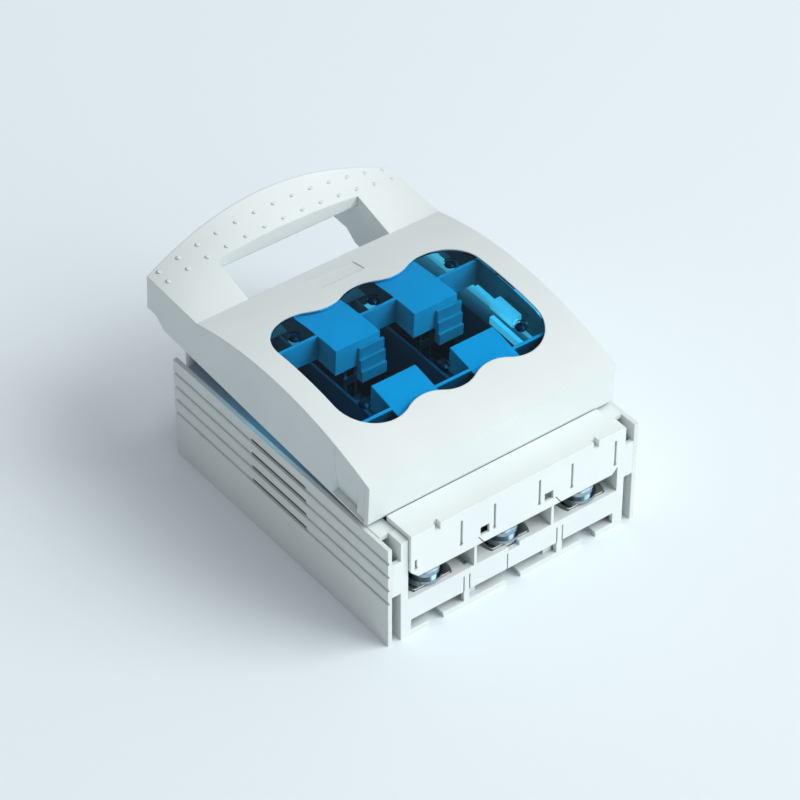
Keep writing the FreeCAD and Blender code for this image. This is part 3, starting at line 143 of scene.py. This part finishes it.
class Nodes:
    """A node tree and the one method that adds its nodes."""

    def __init__(self, tree: bpy.types.NodeTree) -> None:
        """Start with an empty tree."""
        self.tree = tree
        self.tree.nodes.clear()

    def node(self, kind: str, settings: Optional[Dict[str, Any]] = None,
             inputs: Optional[Dict[Union[str, int], Any]] = None) -> bpy.types.Node:
        """Add a node.

        Args:
            kind: The node's type.
            settings: Its own properties, set first; "stops" holds a ramp's places and levels.
            inputs: Numbers, colours, values or sockets by socket name or index.

        Returns:
            The new node.
        """
        node = self.tree.nodes.new(kind)
        for name, setting in (settings or {}).items():
            if name == "stops":
                self.set_stops(node, setting)
            else:
                setattr(node, name, setting)
        for name, given in (inputs or {}).items():
            if isinstance(given, Value):
                given = given.socket
            if isinstance(given, Socket):
                self.tree.links.new(given, node.inputs[name])
            else:
                node.inputs[name].default_value = given
        return node

    @staticmethod
    def set_stops(node: bpy.types.Node, stops: Stops) -> None:
        """Give a colour ramp grey stops.

        Args:
            node: The ramp.
            stops: Each stop's place and grey level.
        """
        elements = node.color_ramp.elements
        while len(elements) < len(stops):
            elements.new(1.0)
        for element, (place, level) in zip(elements, stops):
            element.position = place
            element.color = (level, level, level, 1.0)


class Shader(Nodes):
    """One procedural material and the nodes that make it up."""

    openness_samples = 6
    bevel_samples = 4

    def __init__(self, name: str) -> None:
        """Start an empty material.

        Args:
            name: The material's name.
        """
        self.material = bpy.data.materials.new(name)
        self.material.use_nodes = True
        super().__init__(self.material.node_tree)

    def place(self) -> Socket:
        """Return the object coordinates, which are the row frame in metres."""
        return self.node("ShaderNodeTexCoord").outputs["Object"]

    def noise(self, scale: float, detail: float, stretch: Point = (1.0, 1.0, 1.0)) -> Value:
        """Return a noise that varies about 0.5.

        Args:
            scale: Spots per metre.
            detail: Octaves.
            stretch: Scale along each axis, for brushed streaks.

        Returns:
            The noise.
        """
        mapping = self.node("ShaderNodeMapping", None, {"Vector": self.place(), "Scale": stretch})
        noise = self.node("ShaderNodeTexNoise", None,
                          {"Vector": mapping.outputs[0], "Scale": scale, "Detail": detail})
        return Value(self, noise.outputs["Fac"])

    def ramp(self, source: Value, stops: Stops) -> Value:
        """Return the value put through grey stops."""
        node = self.node("ShaderNodeValToRGB", {"stops": stops}, {"Fac": source})
        return Value(self, node.outputs["Color"])

    def blend(self, mask: Number, first: Paint, second: Paint) -> Socket:
        """Return a colour mixed from first to second by the mask.

        Args:
            mask: 0 where the first shows and 1 where the second shows.
            first: A colour or a colour socket.
            second: A colour or a colour socket.

        Returns:
            The mixed colour's socket.
        """
        start, end = (paint if isinstance(paint, Socket) else (*paint, 1.0)
                      for paint in (first, second))
        node = self.node("ShaderNodeMix", {"data_type": "RGBA"}, {0: mask, 6: start, 7: end})
        return node.outputs[2]

    def openness(self, reach: float, alone: bool = False) -> Value:
        """Return how open the surroundings are, 0 to 1.

        Args:
            reach: How far they count, in metres.
            alone: Whether only the piece itself counts.

        Returns:
            The openness.
        """
        node = self.node("ShaderNodeAmbientOcclusion",
                         {"samples": self.openness_samples, "only_local": alone},
                         {"Distance": reach})
        return Value(self, node.outputs["AO"])

    def part_of(self, vector: Socket, axis: str) -> Value:
        """Return one part of a vector: X, Y or Z."""
        parts = self.node("ShaderNodeSeparateXYZ", None, {"Vector": vector})
        return Value(self, parts.outputs[axis])

    def rise(self) -> Value:
        """Return how much the surface faces up, from -1 to 1."""
        return self.part_of(self.node("ShaderNodeTexCoord").outputs["Normal"], "Z")

    def along(self, axis: str) -> Value:
        """Return the place along X, Y or Z in metres."""
        return self.part_of(self.place(), axis)

    def soft_edges(self, radius: float) -> Socket:
        """Return normals that are rounded over the edges by a radius in metres."""
        node = self.node("ShaderNodeBevel", {"samples": self.bevel_samples}, {"Radius": radius})
        return node.outputs[0]

    def bump(self, height: Value, depth: float, strength: float,
             normal: Optional[Socket] = None) -> Socket:
        """Return normals bent by a height.

        Args:
            height: The height, 0 to 1.
            depth: What a height of 1 is in metres.
            strength: Share of the bend that shows.
            normal: Normals to start from.

        Returns:
            The bent normals' socket.
        """
        inputs = {"Height": height, "Distance": depth, "Strength": strength}
        if normal is not None:
            inputs["Normal"] = normal
        return self.node("ShaderNodeBump", None, inputs).outputs[0]

    def surface(self, shader: Socket) -> bpy.types.Material:
        """Send a shader to the output and return the finished material."""
        self.node("ShaderNodeOutputMaterial", None, {"Surface": shader})
        return self.material


@dataclass(frozen=True)
class PaintedShadeZone:
    """A zone of a moulded piece with painted shade, in a tone that is darker than the finish by a
    share.
    """

    share: float = 0.0

    def bare(self, shader: Shader) -> Value:
        """Return 0 in the zone and 1 outside it."""
        raise NotImplementedError

    def tone(self, plain: Colour) -> Colour:
        """Return the zone's painted shade colour, made from the finish's own."""
        return darker(plain, self.share)

    def paint(self, shader: Shader, under: Socket, plain: Colour) -> Socket:
        """Paint the zone's shade over what lies under it.

        Args:
            shader: The material that it belongs to.
            under: The colour so far.
            plain: The finish's own colour.

        Returns:
            The new colour's socket.
        """
        return shader.blend(self.bare(shader), self.tone(plain), under)


@dataclass(frozen=True)
class DeepPlaceShade(PaintedShadeZone):
    """Painted shade in corners and recesses that little light reaches, darker where the openness is
    low.
    """

    reach: float = 0.03
    alone: bool = False
    stops: Stops = ((0.08, 0.0), (0.42, 1.0))

    def bare(self, shader: Shader) -> Value:
        """Return 0 in deep places and 1 in open ones."""
        return shader.ramp(shader.openness(self.reach, self.alone), self.stops)


@dataclass(frozen=True)
class WellShade(PaintedShadeZone):
    """Painted shade in the wells of the base under the lid: a dark colour where the openness is low,
    fading towards both ends.
    """

    # painted shade colour for the dark under the lid
    colour: Colour = (0.24, 0.285, 0.35)
    reach: float = 0.12
    open_stops: Stops = ((0.5, 0.0), (1.0, 1.0))
    middle: float = 0.0115
    half_length: float = 0.094
    fade_stops: Stops = ((0.9, 0.0), (1.0, 1.0))

    def tone(self, plain: Colour) -> Colour:
        """Return the painted shade colour of the wells."""
        return self.colour

    def bare(self, shader: Shader) -> Value:
        """Tell the wells from open places and from both ends of the device.

        Args:
            shader: The material that they belong to.

        Returns:
            0 in the wells, rising to 1 outside them.
        """
        lit = shader.ramp(shader.openness(self.reach), self.open_stops)
        distance = (shader.along("Y") - self.middle).magnitude() * (1.0 / self.half_length)
        return lit.greatest(shader.ramp(distance, self.fade_stops))


@dataclass(frozen=True)
class VentSlotShade(PaintedShadeZone):
    """Painted shade in the ventilation slots of a side cover, between its lapped boards."""

    face: float = 0.0923
    front: float = -0.0281
    rear: float = 0.0266
    start: float = 0.0326
    pitch: float = 0.0104
    low: float = 0.0008
    high: float = 0.0040

    def bare(self, shader: Shader) -> Value:
        """Tell the slots from the boards.

        Args:
            shader: The material that they belong to.

        Returns:
            0 in the slots and 1 or more on the boards.
        """
        height = (shader.along("Z") - self.start).cycle(self.pitch)
        solid = height.outside(self.low, self.high)
        solid = solid.greatest(shader.along("Y").outside(self.front, self.rear))
        return solid.greatest(shader.along("X").outside(-self.face, self.face))


@dataclass(frozen=True)
class CarrierWallShade(PaintedShadeZone):
    """Painted shade on the upright walls in the front and rear openings of the carrier."""

    front: float = -0.0455
    rear: float = 0.0275
    least_rise: float = 0.5

    def bare(self, shader: Shader) -> Value:
        """Return 0 on these walls and 1 elsewhere."""
        steep = shader.rise().below(self.least_rise)
        return 1.0 - steep * shader.along("Y").outside(self.front, self.rear)


@dataclass(frozen=True)
class OuterBandShade(PaintedShadeZone):
    """Painted shade on what lies far to the left and to the right under the lid."""

    start: float = 0.0705

    def bare(self, shader: Shader) -> Value:
        """Return 0 in the two bands and 1 between them."""
        return 1.0 - shader.along("X").outside(-self.start, self.start)


@dataclass(frozen=True)
class MouldedPlastic:
    """Moulded plastic with a fine spark-eroded grain, faint flow marks, softened edges, zones of
    painted shade and an optional painted glow.
    """

    name: str
    colour: Colour
    roughness: float = 0.5
    grain: float = 2600.0
    edge: float = 0.0005
    flow_shade: float = 0.06
    specular: float = 0.4
    painted_glow: float = 0.0
    shade_zones: Tuple[PaintedShadeZone, ...] = ()
    grain_depth: float = 0.00003
    grain_strength: float = 0.35
    flow_scale: float = 14.0
    flow_detail: float = 3.0
    flow_stops: Stops = ((0.3, 0.0), (0.7, 1.0))
    roughness_spread: float = 0.08

    def material(self) -> bpy.types.Material:
        """Make the material.

        Returns:
            The new material.
        """
        shader = Shader(self.name)
        flow = shader.noise(self.flow_scale, self.flow_detail)
        grain = shader.noise(self.grain, 1.0)
        colour = shader.blend(shader.ramp(flow, self.flow_stops),
                              darker(self.colour, self.flow_shade), self.colour)
        # paint each zone's painted shade over the colour
        for zone in self.shade_zones:
            colour = zone.paint(shader, colour, self.colour)
        roughness = self.roughness - self.roughness_spread / 2 + self.roughness_spread * flow
        bent = shader.bump(grain, self.grain_depth, self.grain_strength,
                           shader.soft_edges(self.edge))
        inputs = {"Base Color": colour, "Roughness": roughness,
                  "Specular IOR Level": self.specular, "Normal": bent}
        # painted glow: emission that makes the piece glow though it is no lamp
        if self.painted_glow:
            inputs.update({"Emission Color": colour, "Emission Strength": self.painted_glow})
        principled = shader.node("ShaderNodeBsdfPrincipled", None, inputs)
        return shader.surface(principled.outputs[0])


@dataclass(frozen=True)
class PlatedMetal:
    """Bare or plated metal with rolling or turning streaks and dull spots."""

    name: str
    colour: Colour
    stain: Colour
    roughness: float
    spot_scale: float = 120.0
    spot_detail: float = 4.0
    spot_stops: Stops = ((0.35, 0.0), (0.7, 1.0))
    spot_roughness: float = 0.12
    streak_scale: float = 500.0
    streak_detail: float = 2.0
    streak_stretch: Point = (1.0, 1.0, 12.0)
    streak_roughness: float = 0.06
    streak_depth: float = 0.00002
    streak_strength: float = 0.2

    def material(self) -> bpy.types.Material:
        """Make the material.

        Returns:
            The new material.
        """
        shader = Shader(self.name)
        spots = shader.ramp(shader.noise(self.spot_scale, self.spot_detail), self.spot_stops)
        streaks = shader.noise(self.streak_scale, self.streak_detail, self.streak_stretch)
        roughness = (self.roughness + self.spot_roughness * spots
                     + self.streak_roughness * streaks)
        principled = shader.node("ShaderNodeBsdfPrincipled", None, {
            "Base Color": shader.blend(spots, self.colour, self.stain), "Metallic": 1.0,
            "Roughness": roughness,
            "Normal": shader.bump(streaks, self.streak_depth, self.streak_strength)})
        return shader.surface(principled.outputs[0])


@dataclass(frozen=True)
class TintedPane:
    """Clear tinted plastic that lets the lamps through with its tint."""

    name: str
    tint: Colour
    bend: float = 1.49
    roughness: float = 0.03
    roughness_spread: float = 0.02
    shine: float = 0.12
    haze_scale: float = 60.0
    haze_detail: float = 3.0
    haze_shade: float = 0.06

    def material(self) -> bpy.types.Material:
        """Make the material.

        Returns:
            The new material.
        """
        shader = Shader(self.name)
        haze = shader.noise(self.haze_scale, self.haze_detail)
        glass = shader.node("ShaderNodeBsdfPrincipled", None, {
            "Base Color": shader.blend(haze, self.tint, darker(self.tint, self.haze_shade)),
            "Transmission Weight": 1.0, "IOR": self.bend, "Specular IOR Level": self.shine,
            "Roughness": self.roughness + self.roughness_spread * haze})
        passed = tuple(math.sqrt(channel) for channel in self.tint)
        clear = shader.node("ShaderNodeBsdfTransparent", None, {"Color": (*passed, 1.0)})
        path = shader.node("ShaderNodeLightPath")
        mix = shader.node("ShaderNodeMixShader", None, {
            0: path.outputs["Is Shadow Ray"], 1: glass.outputs[0], 2: clear.outputs[0]})
        return shader.surface(mix.outputs[0])


class Finish(Enum):
    """The finishes of the device, one for each kind of piece."""

    # housing: grain, with painted shade in deep places and in the wells under the lid
    HOUSING = MouldedPlastic("housing_grain_painted_shade", (0.80, 0.862, 0.862), 0.55, 2200.0, 0.0006,
                             shade_zones=(DeepPlaceShade(0.35), WellShade()))
    # terminal covers: grain, with painted shade in small recesses and where they reach under the lid
    SHROUD = MouldedPlastic("shroud_grain_painted_shade", (0.82, 0.88, 0.877), 0.5, 2400.0, 0.0006,
                            shade_zones=(DeepPlaceShade(0.4, reach=0.005), WellShade()))
    # side covers: grain, with painted shade in the ventilation slots
    COVER = MouldedPlastic("cover_grain_slot_shade", (0.77, 0.822, 0.815), 0.5, 3000.0, 0.0008,
                           shade_zones=(VentSlotShade(0.62),))
    LID = MouldedPlastic("lid_grain", (0.785, 0.852, 0.852), 0.48, 2800.0, 0.0009)
    # carrier: grain, with painted shade in its own corners, on the upright walls of its openings and in
    # the outer bands
    CARRIER = MouldedPlastic(
        "carrier_grain_painted_shade", (0.80, 0.86, 0.88), 0.5, 3000.0,
        shade_zones=(DeepPlaceShade(0.75, reach=0.05, alone=True, stops=((0.3, 0.0), (0.85, 1.0))),
               CarrierWallShade(0.8), OuterBandShade(0.6, start=0.0735)))
    LATCH = MouldedPlastic("latch_grain", (0.56, 0.58, 0.60), 0.5, 3000.0)
    # rod, sleeve and strip: painted glow from emission, and painted shade on their parts in the outer
    # bands
    ROD = MouldedPlastic("clear_rod_painted_glow", (0.97, 0.98, 0.98), 0.2, flow_shade=0.01, specular=0.5,
                         painted_glow=0.6, shade_zones=(OuterBandShade(0.92),))
    CHAMBER = MouldedPlastic("black_thermoset", (0.022, 0.023, 0.026), 0.6, 1800.0,
                             flow_shade=0.25)
    WINDOW = TintedPane("blue_pane", (0.06, 0.52, 0.775), bend=1.18)
    # dark tint for the discs of painted shade in the test probe bosses
    PROBE = TintedPane("probe_recess_shade_tint", (0.01, 0.06, 0.16))
    SILVER = PlatedMetal("silvered_copper", (0.66, 0.66, 0.64), (0.52, 0.50, 0.46), 0.14)
    ZINC = PlatedMetal("blue_zinc", (0.38, 0.47, 0.51), (0.28, 0.37, 0.43), 0.12)
    SPRING = PlatedMetal("spring_steel", (0.42, 0.42, 0.43), (0.28, 0.27, 0.27), 0.35)

    def material(self) -> bpy.types.Material:
        """Return this finish's material, made once."""
        return bpy.data.materials.get(self.value.name) or self.value.material()


def dress(nodes: Sequence[str], finish: Finish) -> None:
    """Give CAD nodes a finish on every slot.

    Args:
        nodes: The nodes' names.
        finish: What they are made of.
    """
    for name in nodes:
        slots = frame["nodes"][name].data.materials
        if not slots:
            slots.append(finish.material())
        for number in range(len(slots)):
            slots[number] = finish.material()
        LOG.info("%s dressed as %s", name, finish.name)


def add_piece(name: str, build: Callable[[bmesh.types.BMesh], None], body: str, finish: Finish) -> None:
    """Make one mesh piece of the object.

    Args:
        name: The piece's name.
        build: Fills the mesh, in the row frame.
        body: The CAD body it moves with.
        finish: What it is made of.
    """
    mesh = bpy.data.meshes.new(name)
    shape = bmesh.new()
    build(shape)
    bmesh.ops.recalc_face_normals(shape, faces=shape.faces)
    for face in shape.faces:
        face.smooth = True
    shape.to_mesh(mesh)
    shape.free()
    mesh.materials.append(finish.material())
    thing = show(name, mesh)
    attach(thing, body)
    LOG.info("%s made on %s", name, body)


@dataclass
class Base:
    """The moulded base, its side covers and its terminal covers."""

    housing: Sequence[str] = ("base_housing",)
    plates: Sequence[str] = ("side_cover_left", "side_cover_right")
    shrouds: Sequence[str] = ("front_terminal_cover", "rear_terminal_cover")

    def build(self) -> None:
        """Dress the moulded pieces."""
        dress(self.housing, Finish.HOUSING)
        dress(self.plates, Finish.COVER)
        dress(self.shrouds, Finish.SHROUD)


@dataclass
class Terminals:
    """Bars, bolts, washers and nuts at both ends."""

    zinc_pieces: Sequence[str] = ("terminal_bolts", "terminal_washers", "spring_washers",
                                  "captive_nuts")

    def build(self) -> None:
        """Dress the metal pieces of the terminals."""
        for end in ENDS:
            dress(["%s_%s" % (piece, end) for piece in self.zinc_pieces], Finish.ZINC)
            dress(["terminal_bar_%s_%d" % (end, pole) for pole in POLES], Finish.SILVER)


@dataclass
class Contacts:
    """Jaws, their springs, and the arc chambers with their plates."""

    springs: Sequence[str] = ("jaw_springs",)

    def build(self) -> None:
        """Dress the contacts and the chambers round them."""
        for end in ENDS:
            dress(["jaw_%s_%d" % (end, pole) for pole in POLES], Finish.SILVER)
            dress(["arc_chamber_%s_%d" % (end, pole) for pole in POLES], Finish.CHAMBER)
            dress(["arc_plates_" + end], Finish.SPRING)
        dress(self.springs, Finish.SPRING)


@dataclass
class LidFrame:
    """The lid's own frame: the hinge axis, about which the lid stands open by a little."""

    axis_y: float = -79.5
    axis_z: float = 83.0
    rest_angle: float = 3.4
    front_reach: float = 6.2
    arch_chord: float = 170.3
    arch_radius: float = 265.0
    edge_height: float = 24.1

    def matrix(self) -> Matrix:
        """Make the matrix that takes a place round the axis, in millimetres, to metres.

        Returns:
            The matrix to the row frame.
        """
        turn = Matrix.Rotation(math.radians(self.rest_angle), 4, "X")
        move = Matrix.Translation(Vector((0.0, self.axis_y, self.axis_z)) * MM)
        return move @ turn @ Matrix.Scale(MM, 4)

    def arch(self, y: float) -> float:
        """Work out how high the arched face of the lid stands.

        Args:
            y: Behind the hinge axis.

        Returns:
            The height over the hinge axis in millimetres.
        """
        half_chord = self.arch_chord / 2
        low = self.edge_height - math.sqrt(self.arch_radius ** 2 - half_chord ** 2)
        from_middle = y - (half_chord - self.front_reach)
        return low + math.sqrt(self.arch_radius ** 2 - from_middle ** 2)


@dataclass
class Handle:
    """The top of the crowned handle behind the lid's crease, with its grip pimples."""

    frame: LidFrame
    crease: float = 164.1
    length: float = 59.4
    half_width: float = 90.5
    end_crown: float = 20.0
    crease_crown: float = 0.2
    pimple_pitch: float = 13.9
    pimples_per_row: int = 13
    pimple_rows: Tuple[Tuple[float, float], ...] = ((20.1, -1.9), (10.8, 0.0))
    bow_margin: float = 1.0
    pimple_radius: float = 1.8
    pimple_rise: float = 0.2
    dome_segments: int = 16
    dome_rings: int = 10

    def height(self, x: float, y: float) -> float:
        """Return the height of the handle's top over the hinge axis.

        Args:
            x: Across the device.
            y: Behind the hinge axis.

        Returns:
            The height in millimetres.
        """
        share = (y - self.crease) / self.length
        first, last = (self.arc(x, rise) for rise in (self.crease_crown, self.end_crown))
        return self.frame.edge_height + first + (last - first) * share

    def arc(self, x: float, rise: float) -> float:
        """Return the height at x of an arc over the handle's width that rises so far."""
        radius = (self.half_width ** 2 + rise ** 2) / (2 * rise)
        return math.sqrt(radius ** 2 - x ** 2) - (radius - rise)

    def pimples(self, shape: bmesh.types.BMesh) -> None:
        """Add two rows of low domes along the handle.

        Args:
            shape: The mesh they go into.
        """
        reach = self.pimple_pitch * (self.pimples_per_row - 1) / 2
        for number in range(self.pimples_per_row):
            x = number * self.pimple_pitch - reach
            fullness = 1 - (x / (self.half_width + self.bow_margin)) ** 2
            for inset, bow in self.pimple_rows:
                y = self.crease + self.length - inset + bow * fullness
                self.dome(shape, Vector((x, y, self.height(x, y))))

    def dome(self, shape: bmesh.types.BMesh, place: Vector) -> None:
        """Add one dome.

        Args:
            shape: The mesh it goes into.
            place: Its centre on the surface, round the hinge axis.
        """
        size = Matrix.Diagonal((self.pimple_radius, self.pimple_radius, self.pimple_rise, 1.0))
        bmesh.ops.create_uvsphere(
            shape, u_segments=self.dome_segments, v_segments=self.dome_rings, radius=1.0,
            matrix=self.frame.matrix() @ Matrix.Translation(place) @ size)


@dataclass
class ProbeRecessShade:
    """Six dark tinted discs set into the bosses of the window: painted shade for the dark of the test
    probe recesses.
    """

    frame: LidFrame
    pole_pitch: float = 57.5
    middle: float = 77.1
    spread: float = 33.9
    radius: float = 3.3
    depth: float = 1.6
    cover: float = 1.1
    segments: int = 32

    def plugs(self, shape: bmesh.types.BMesh) -> None:
        """Add the dark discs of painted shade, two for each pole.

        Args:
            shape: The mesh they go into.
        """
        for pole in (-1, 0, 1):
            for side in (-1, 1):
                y = self.middle + side * self.spread
                z = self.frame.arch(y) - self.cover - self.depth / 2
                place = Matrix.Translation((pole * self.pole_pitch, y, z))
                bmesh.ops.create_cone(
                    shape, cap_ends=True, segments=self.segments, radius1=self.radius,
                    radius2=self.radius, depth=self.depth, matrix=self.frame.matrix() @ place)


@dataclass
class Lid:
    """The lid with its window, the grip pimples of the handle and the painted shade discs in the test
    probe bosses.
    """

    frame: LidFrame = field(default_factory=LidFrame)

    def build(self) -> None:
        """Dress the lid and add its small pieces."""
        dress(["lid"], Finish.LID)
        dress(["window"], Finish.WINDOW)
        dress(["hinge_pins"], Finish.ZINC)
        add_piece("grip_pimples", Handle(self.frame).pimples, "lid", Finish.LID)
        # dark discs of painted shade in the test probe bosses
        add_piece("probe_recess_shade", ProbeRecessShade(self.frame).plugs, "lid", Finish.PROBE)


@dataclass
class Carrier:
    """The fuse carrier under the window and the pieces on it."""

    frames: Sequence[str] = ("fuse_carrier",)
    latches: Sequence[str] = ("link_latch_1", "link_latch_2")
    light_pieces: Sequence[str] = ("rod_sleeve", "guide_strip", "signal_rod")
    screws: Sequence[str] = ("carrier_screws",)

    def build(self) -> None:
        """Dress the carrier, its latches, its screws and the light pieces."""
        dress(self.frames, Finish.CARRIER)
        dress(self.latches, Finish.LATCH)
        dress(self.light_pieces, Finish.ROD)
        dress(self.screws, Finish.ZINC)


@dataclass(frozen=True)
class SoftLamp:
    """A large square lamp that faces the object."""

    name: str
    direction: Point
    power: float
    colour: Colour
    distance: float = 6.0
    size: float = 4.2
    aim_height: float = 0.05

    def hang(self) -> None:
        """Add the lamp to the stage."""
        data = bpy.data.lights.new(self.name, "AREA")
        data.shape, data.size, data.energy = "SQUARE", self.size, self.power
        data.color = self.colour
        thing = show(self.name, data)
        way = Vector(self.direction).normalized()
        thing.location = way * self.distance + Vector((0.0, 0.0, self.aim_height))
        thing.rotation_mode = "QUATERNION"
        thing.rotation_quaternion = way.to_track_quat("Z", "Y")


@dataclass(frozen=True)
class PhotoCamera:
    """The camera at the photograph's place: angles in degrees, lengths in millimetres."""

    azimuth: float = -37.335
    elevation: float = 40.356
    roll: float = 0.083
    distance: float = 2202.7
    target: Point = (46.544, 64.217, 0.0)
    lens: float = 158.33
    sensor: float = 36.0
    nearest: float = 0.05
    farthest: float = 50.0

    def set_up(self) -> None:
        """Add the camera and make it the scene's own."""
        turn, lift, tilt = (math.radians(a) for a in (self.azimuth, self.elevation, self.roll))
        ahead = Vector((math.sin(turn), -math.cos(turn), 0.0))
        back = ahead * math.cos(lift) + Vector((0.0, 0.0, math.sin(lift)))
        level = Vector((math.cos(turn), math.sin(turn), 0.0))
        right = math.cos(tilt) * level + math.sin(tilt) * back.cross(level)
        rotation = Matrix((right, back.cross(right), back)).transposed().to_4x4()
        place = (Vector(self.target) + back * self.distance) * MM
        data = bpy.data.cameras.new("camera")
        data.lens, data.sensor_width = self.lens, self.sensor
        data.clip_start, data.clip_end = self.nearest, self.farthest
        thing = show("camera", data)
        thing.matrix_world = Matrix.Translation(place) @ rotation
        bpy.context.scene.camera = thing


@dataclass
class Studio:
    """Pale floor, pale sky, two soft lamps and the camera."""

    floor_reach: float = 6.0
    floor_colour: Colour = (0.868, 0.955, 1.0)
    floor_shade: float = 0.015
    floor_scale: float = 1.5
    floor_detail: float = 2.0
    floor_roughness: float = 0.85
    floor_specular: float = 0.1
    sky: Colour = (0.975, 0.975, 0.99)
    sky_strength: float = 0.465
    sky_lean: Point = (0.23, -0.15, 0.0)
    lamps: Sequence[SoftLamp] = (
        SoftLamp("key_lamp", (0.53, -0.48, 0.70), 245.0, (0.965, 0.995, 1.0)),
        SoftLamp("fill_lamp", (0.15, -0.93, 0.33), 47.0, (1.0, 0.985, 0.965)))

    def build(self) -> None:
        """Set up the whole studio."""
        self.floor()
        self.world()
        for lamp in self.lamps:
            lamp.hang()
        PhotoCamera().set_up()
        bpy.context.scene.view_settings.view_transform = "Standard"

    def floor(self) -> None:
        """Lay the pale floor."""
        shader = Shader("pale_floor")
        clouds = shader.noise(self.floor_scale, self.floor_detail)
        colour = shader.blend(clouds, darker(self.floor_colour, self.floor_shade),
                              self.floor_colour)
        principled = shader.node("ShaderNodeBsdfPrincipled", None, {
            "Base Color": colour, "Roughness": self.floor_roughness,
            "Specular IOR Level": self.floor_specular})
        corners = [(side * self.floor_reach, end * self.floor_reach, 0.0)
                   for side, end in ((-1, -1), (1, -1), (1, 1), (-1, 1))]
        mesh = bpy.data.meshes.new("floor")
        mesh.from_pydata(corners, [], [tuple(range(len(corners)))])
        mesh.materials.append(shader.surface(principled.outputs[0]))
        show("floor", mesh)

    def world(self) -> None:
        """Light the room softly, a little more from the right and the front."""
        world = bpy.data.worlds.new("room")
        world.use_nodes = True
        bpy.context.scene.world = world
        nodes = Nodes(world.node_tree)
        direction = nodes.node("ShaderNodeTexCoord").outputs["Generated"]
        lean = nodes.node("ShaderNodeVectorMath", {"operation": "DOT_PRODUCT"},
                          {0: direction, 1: self.sky_lean})
        light = nodes.node("ShaderNodeBackground", None, {
            "Color": (*self.sky, 1.0),
            "Strength": Value(nodes, lean.outputs["Value"]) + self.sky_strength})
        nodes.node("ShaderNodeOutputWorld", None, {"Surface": light.outputs[0]})


def main() -> None:
    """Build every sub-assembly in order."""
    logging.basicConfig(level=logging.INFO, format="%(name)s: %(message)s")
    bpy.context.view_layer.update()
    for assembly in (Base(), Terminals(), Contacts(), Lid(), Carrier(), Studio()):
        assembly.build()
        LOG.info("%s finished", type(assembly).__name__)


if __name__ == "__main__":
    main()
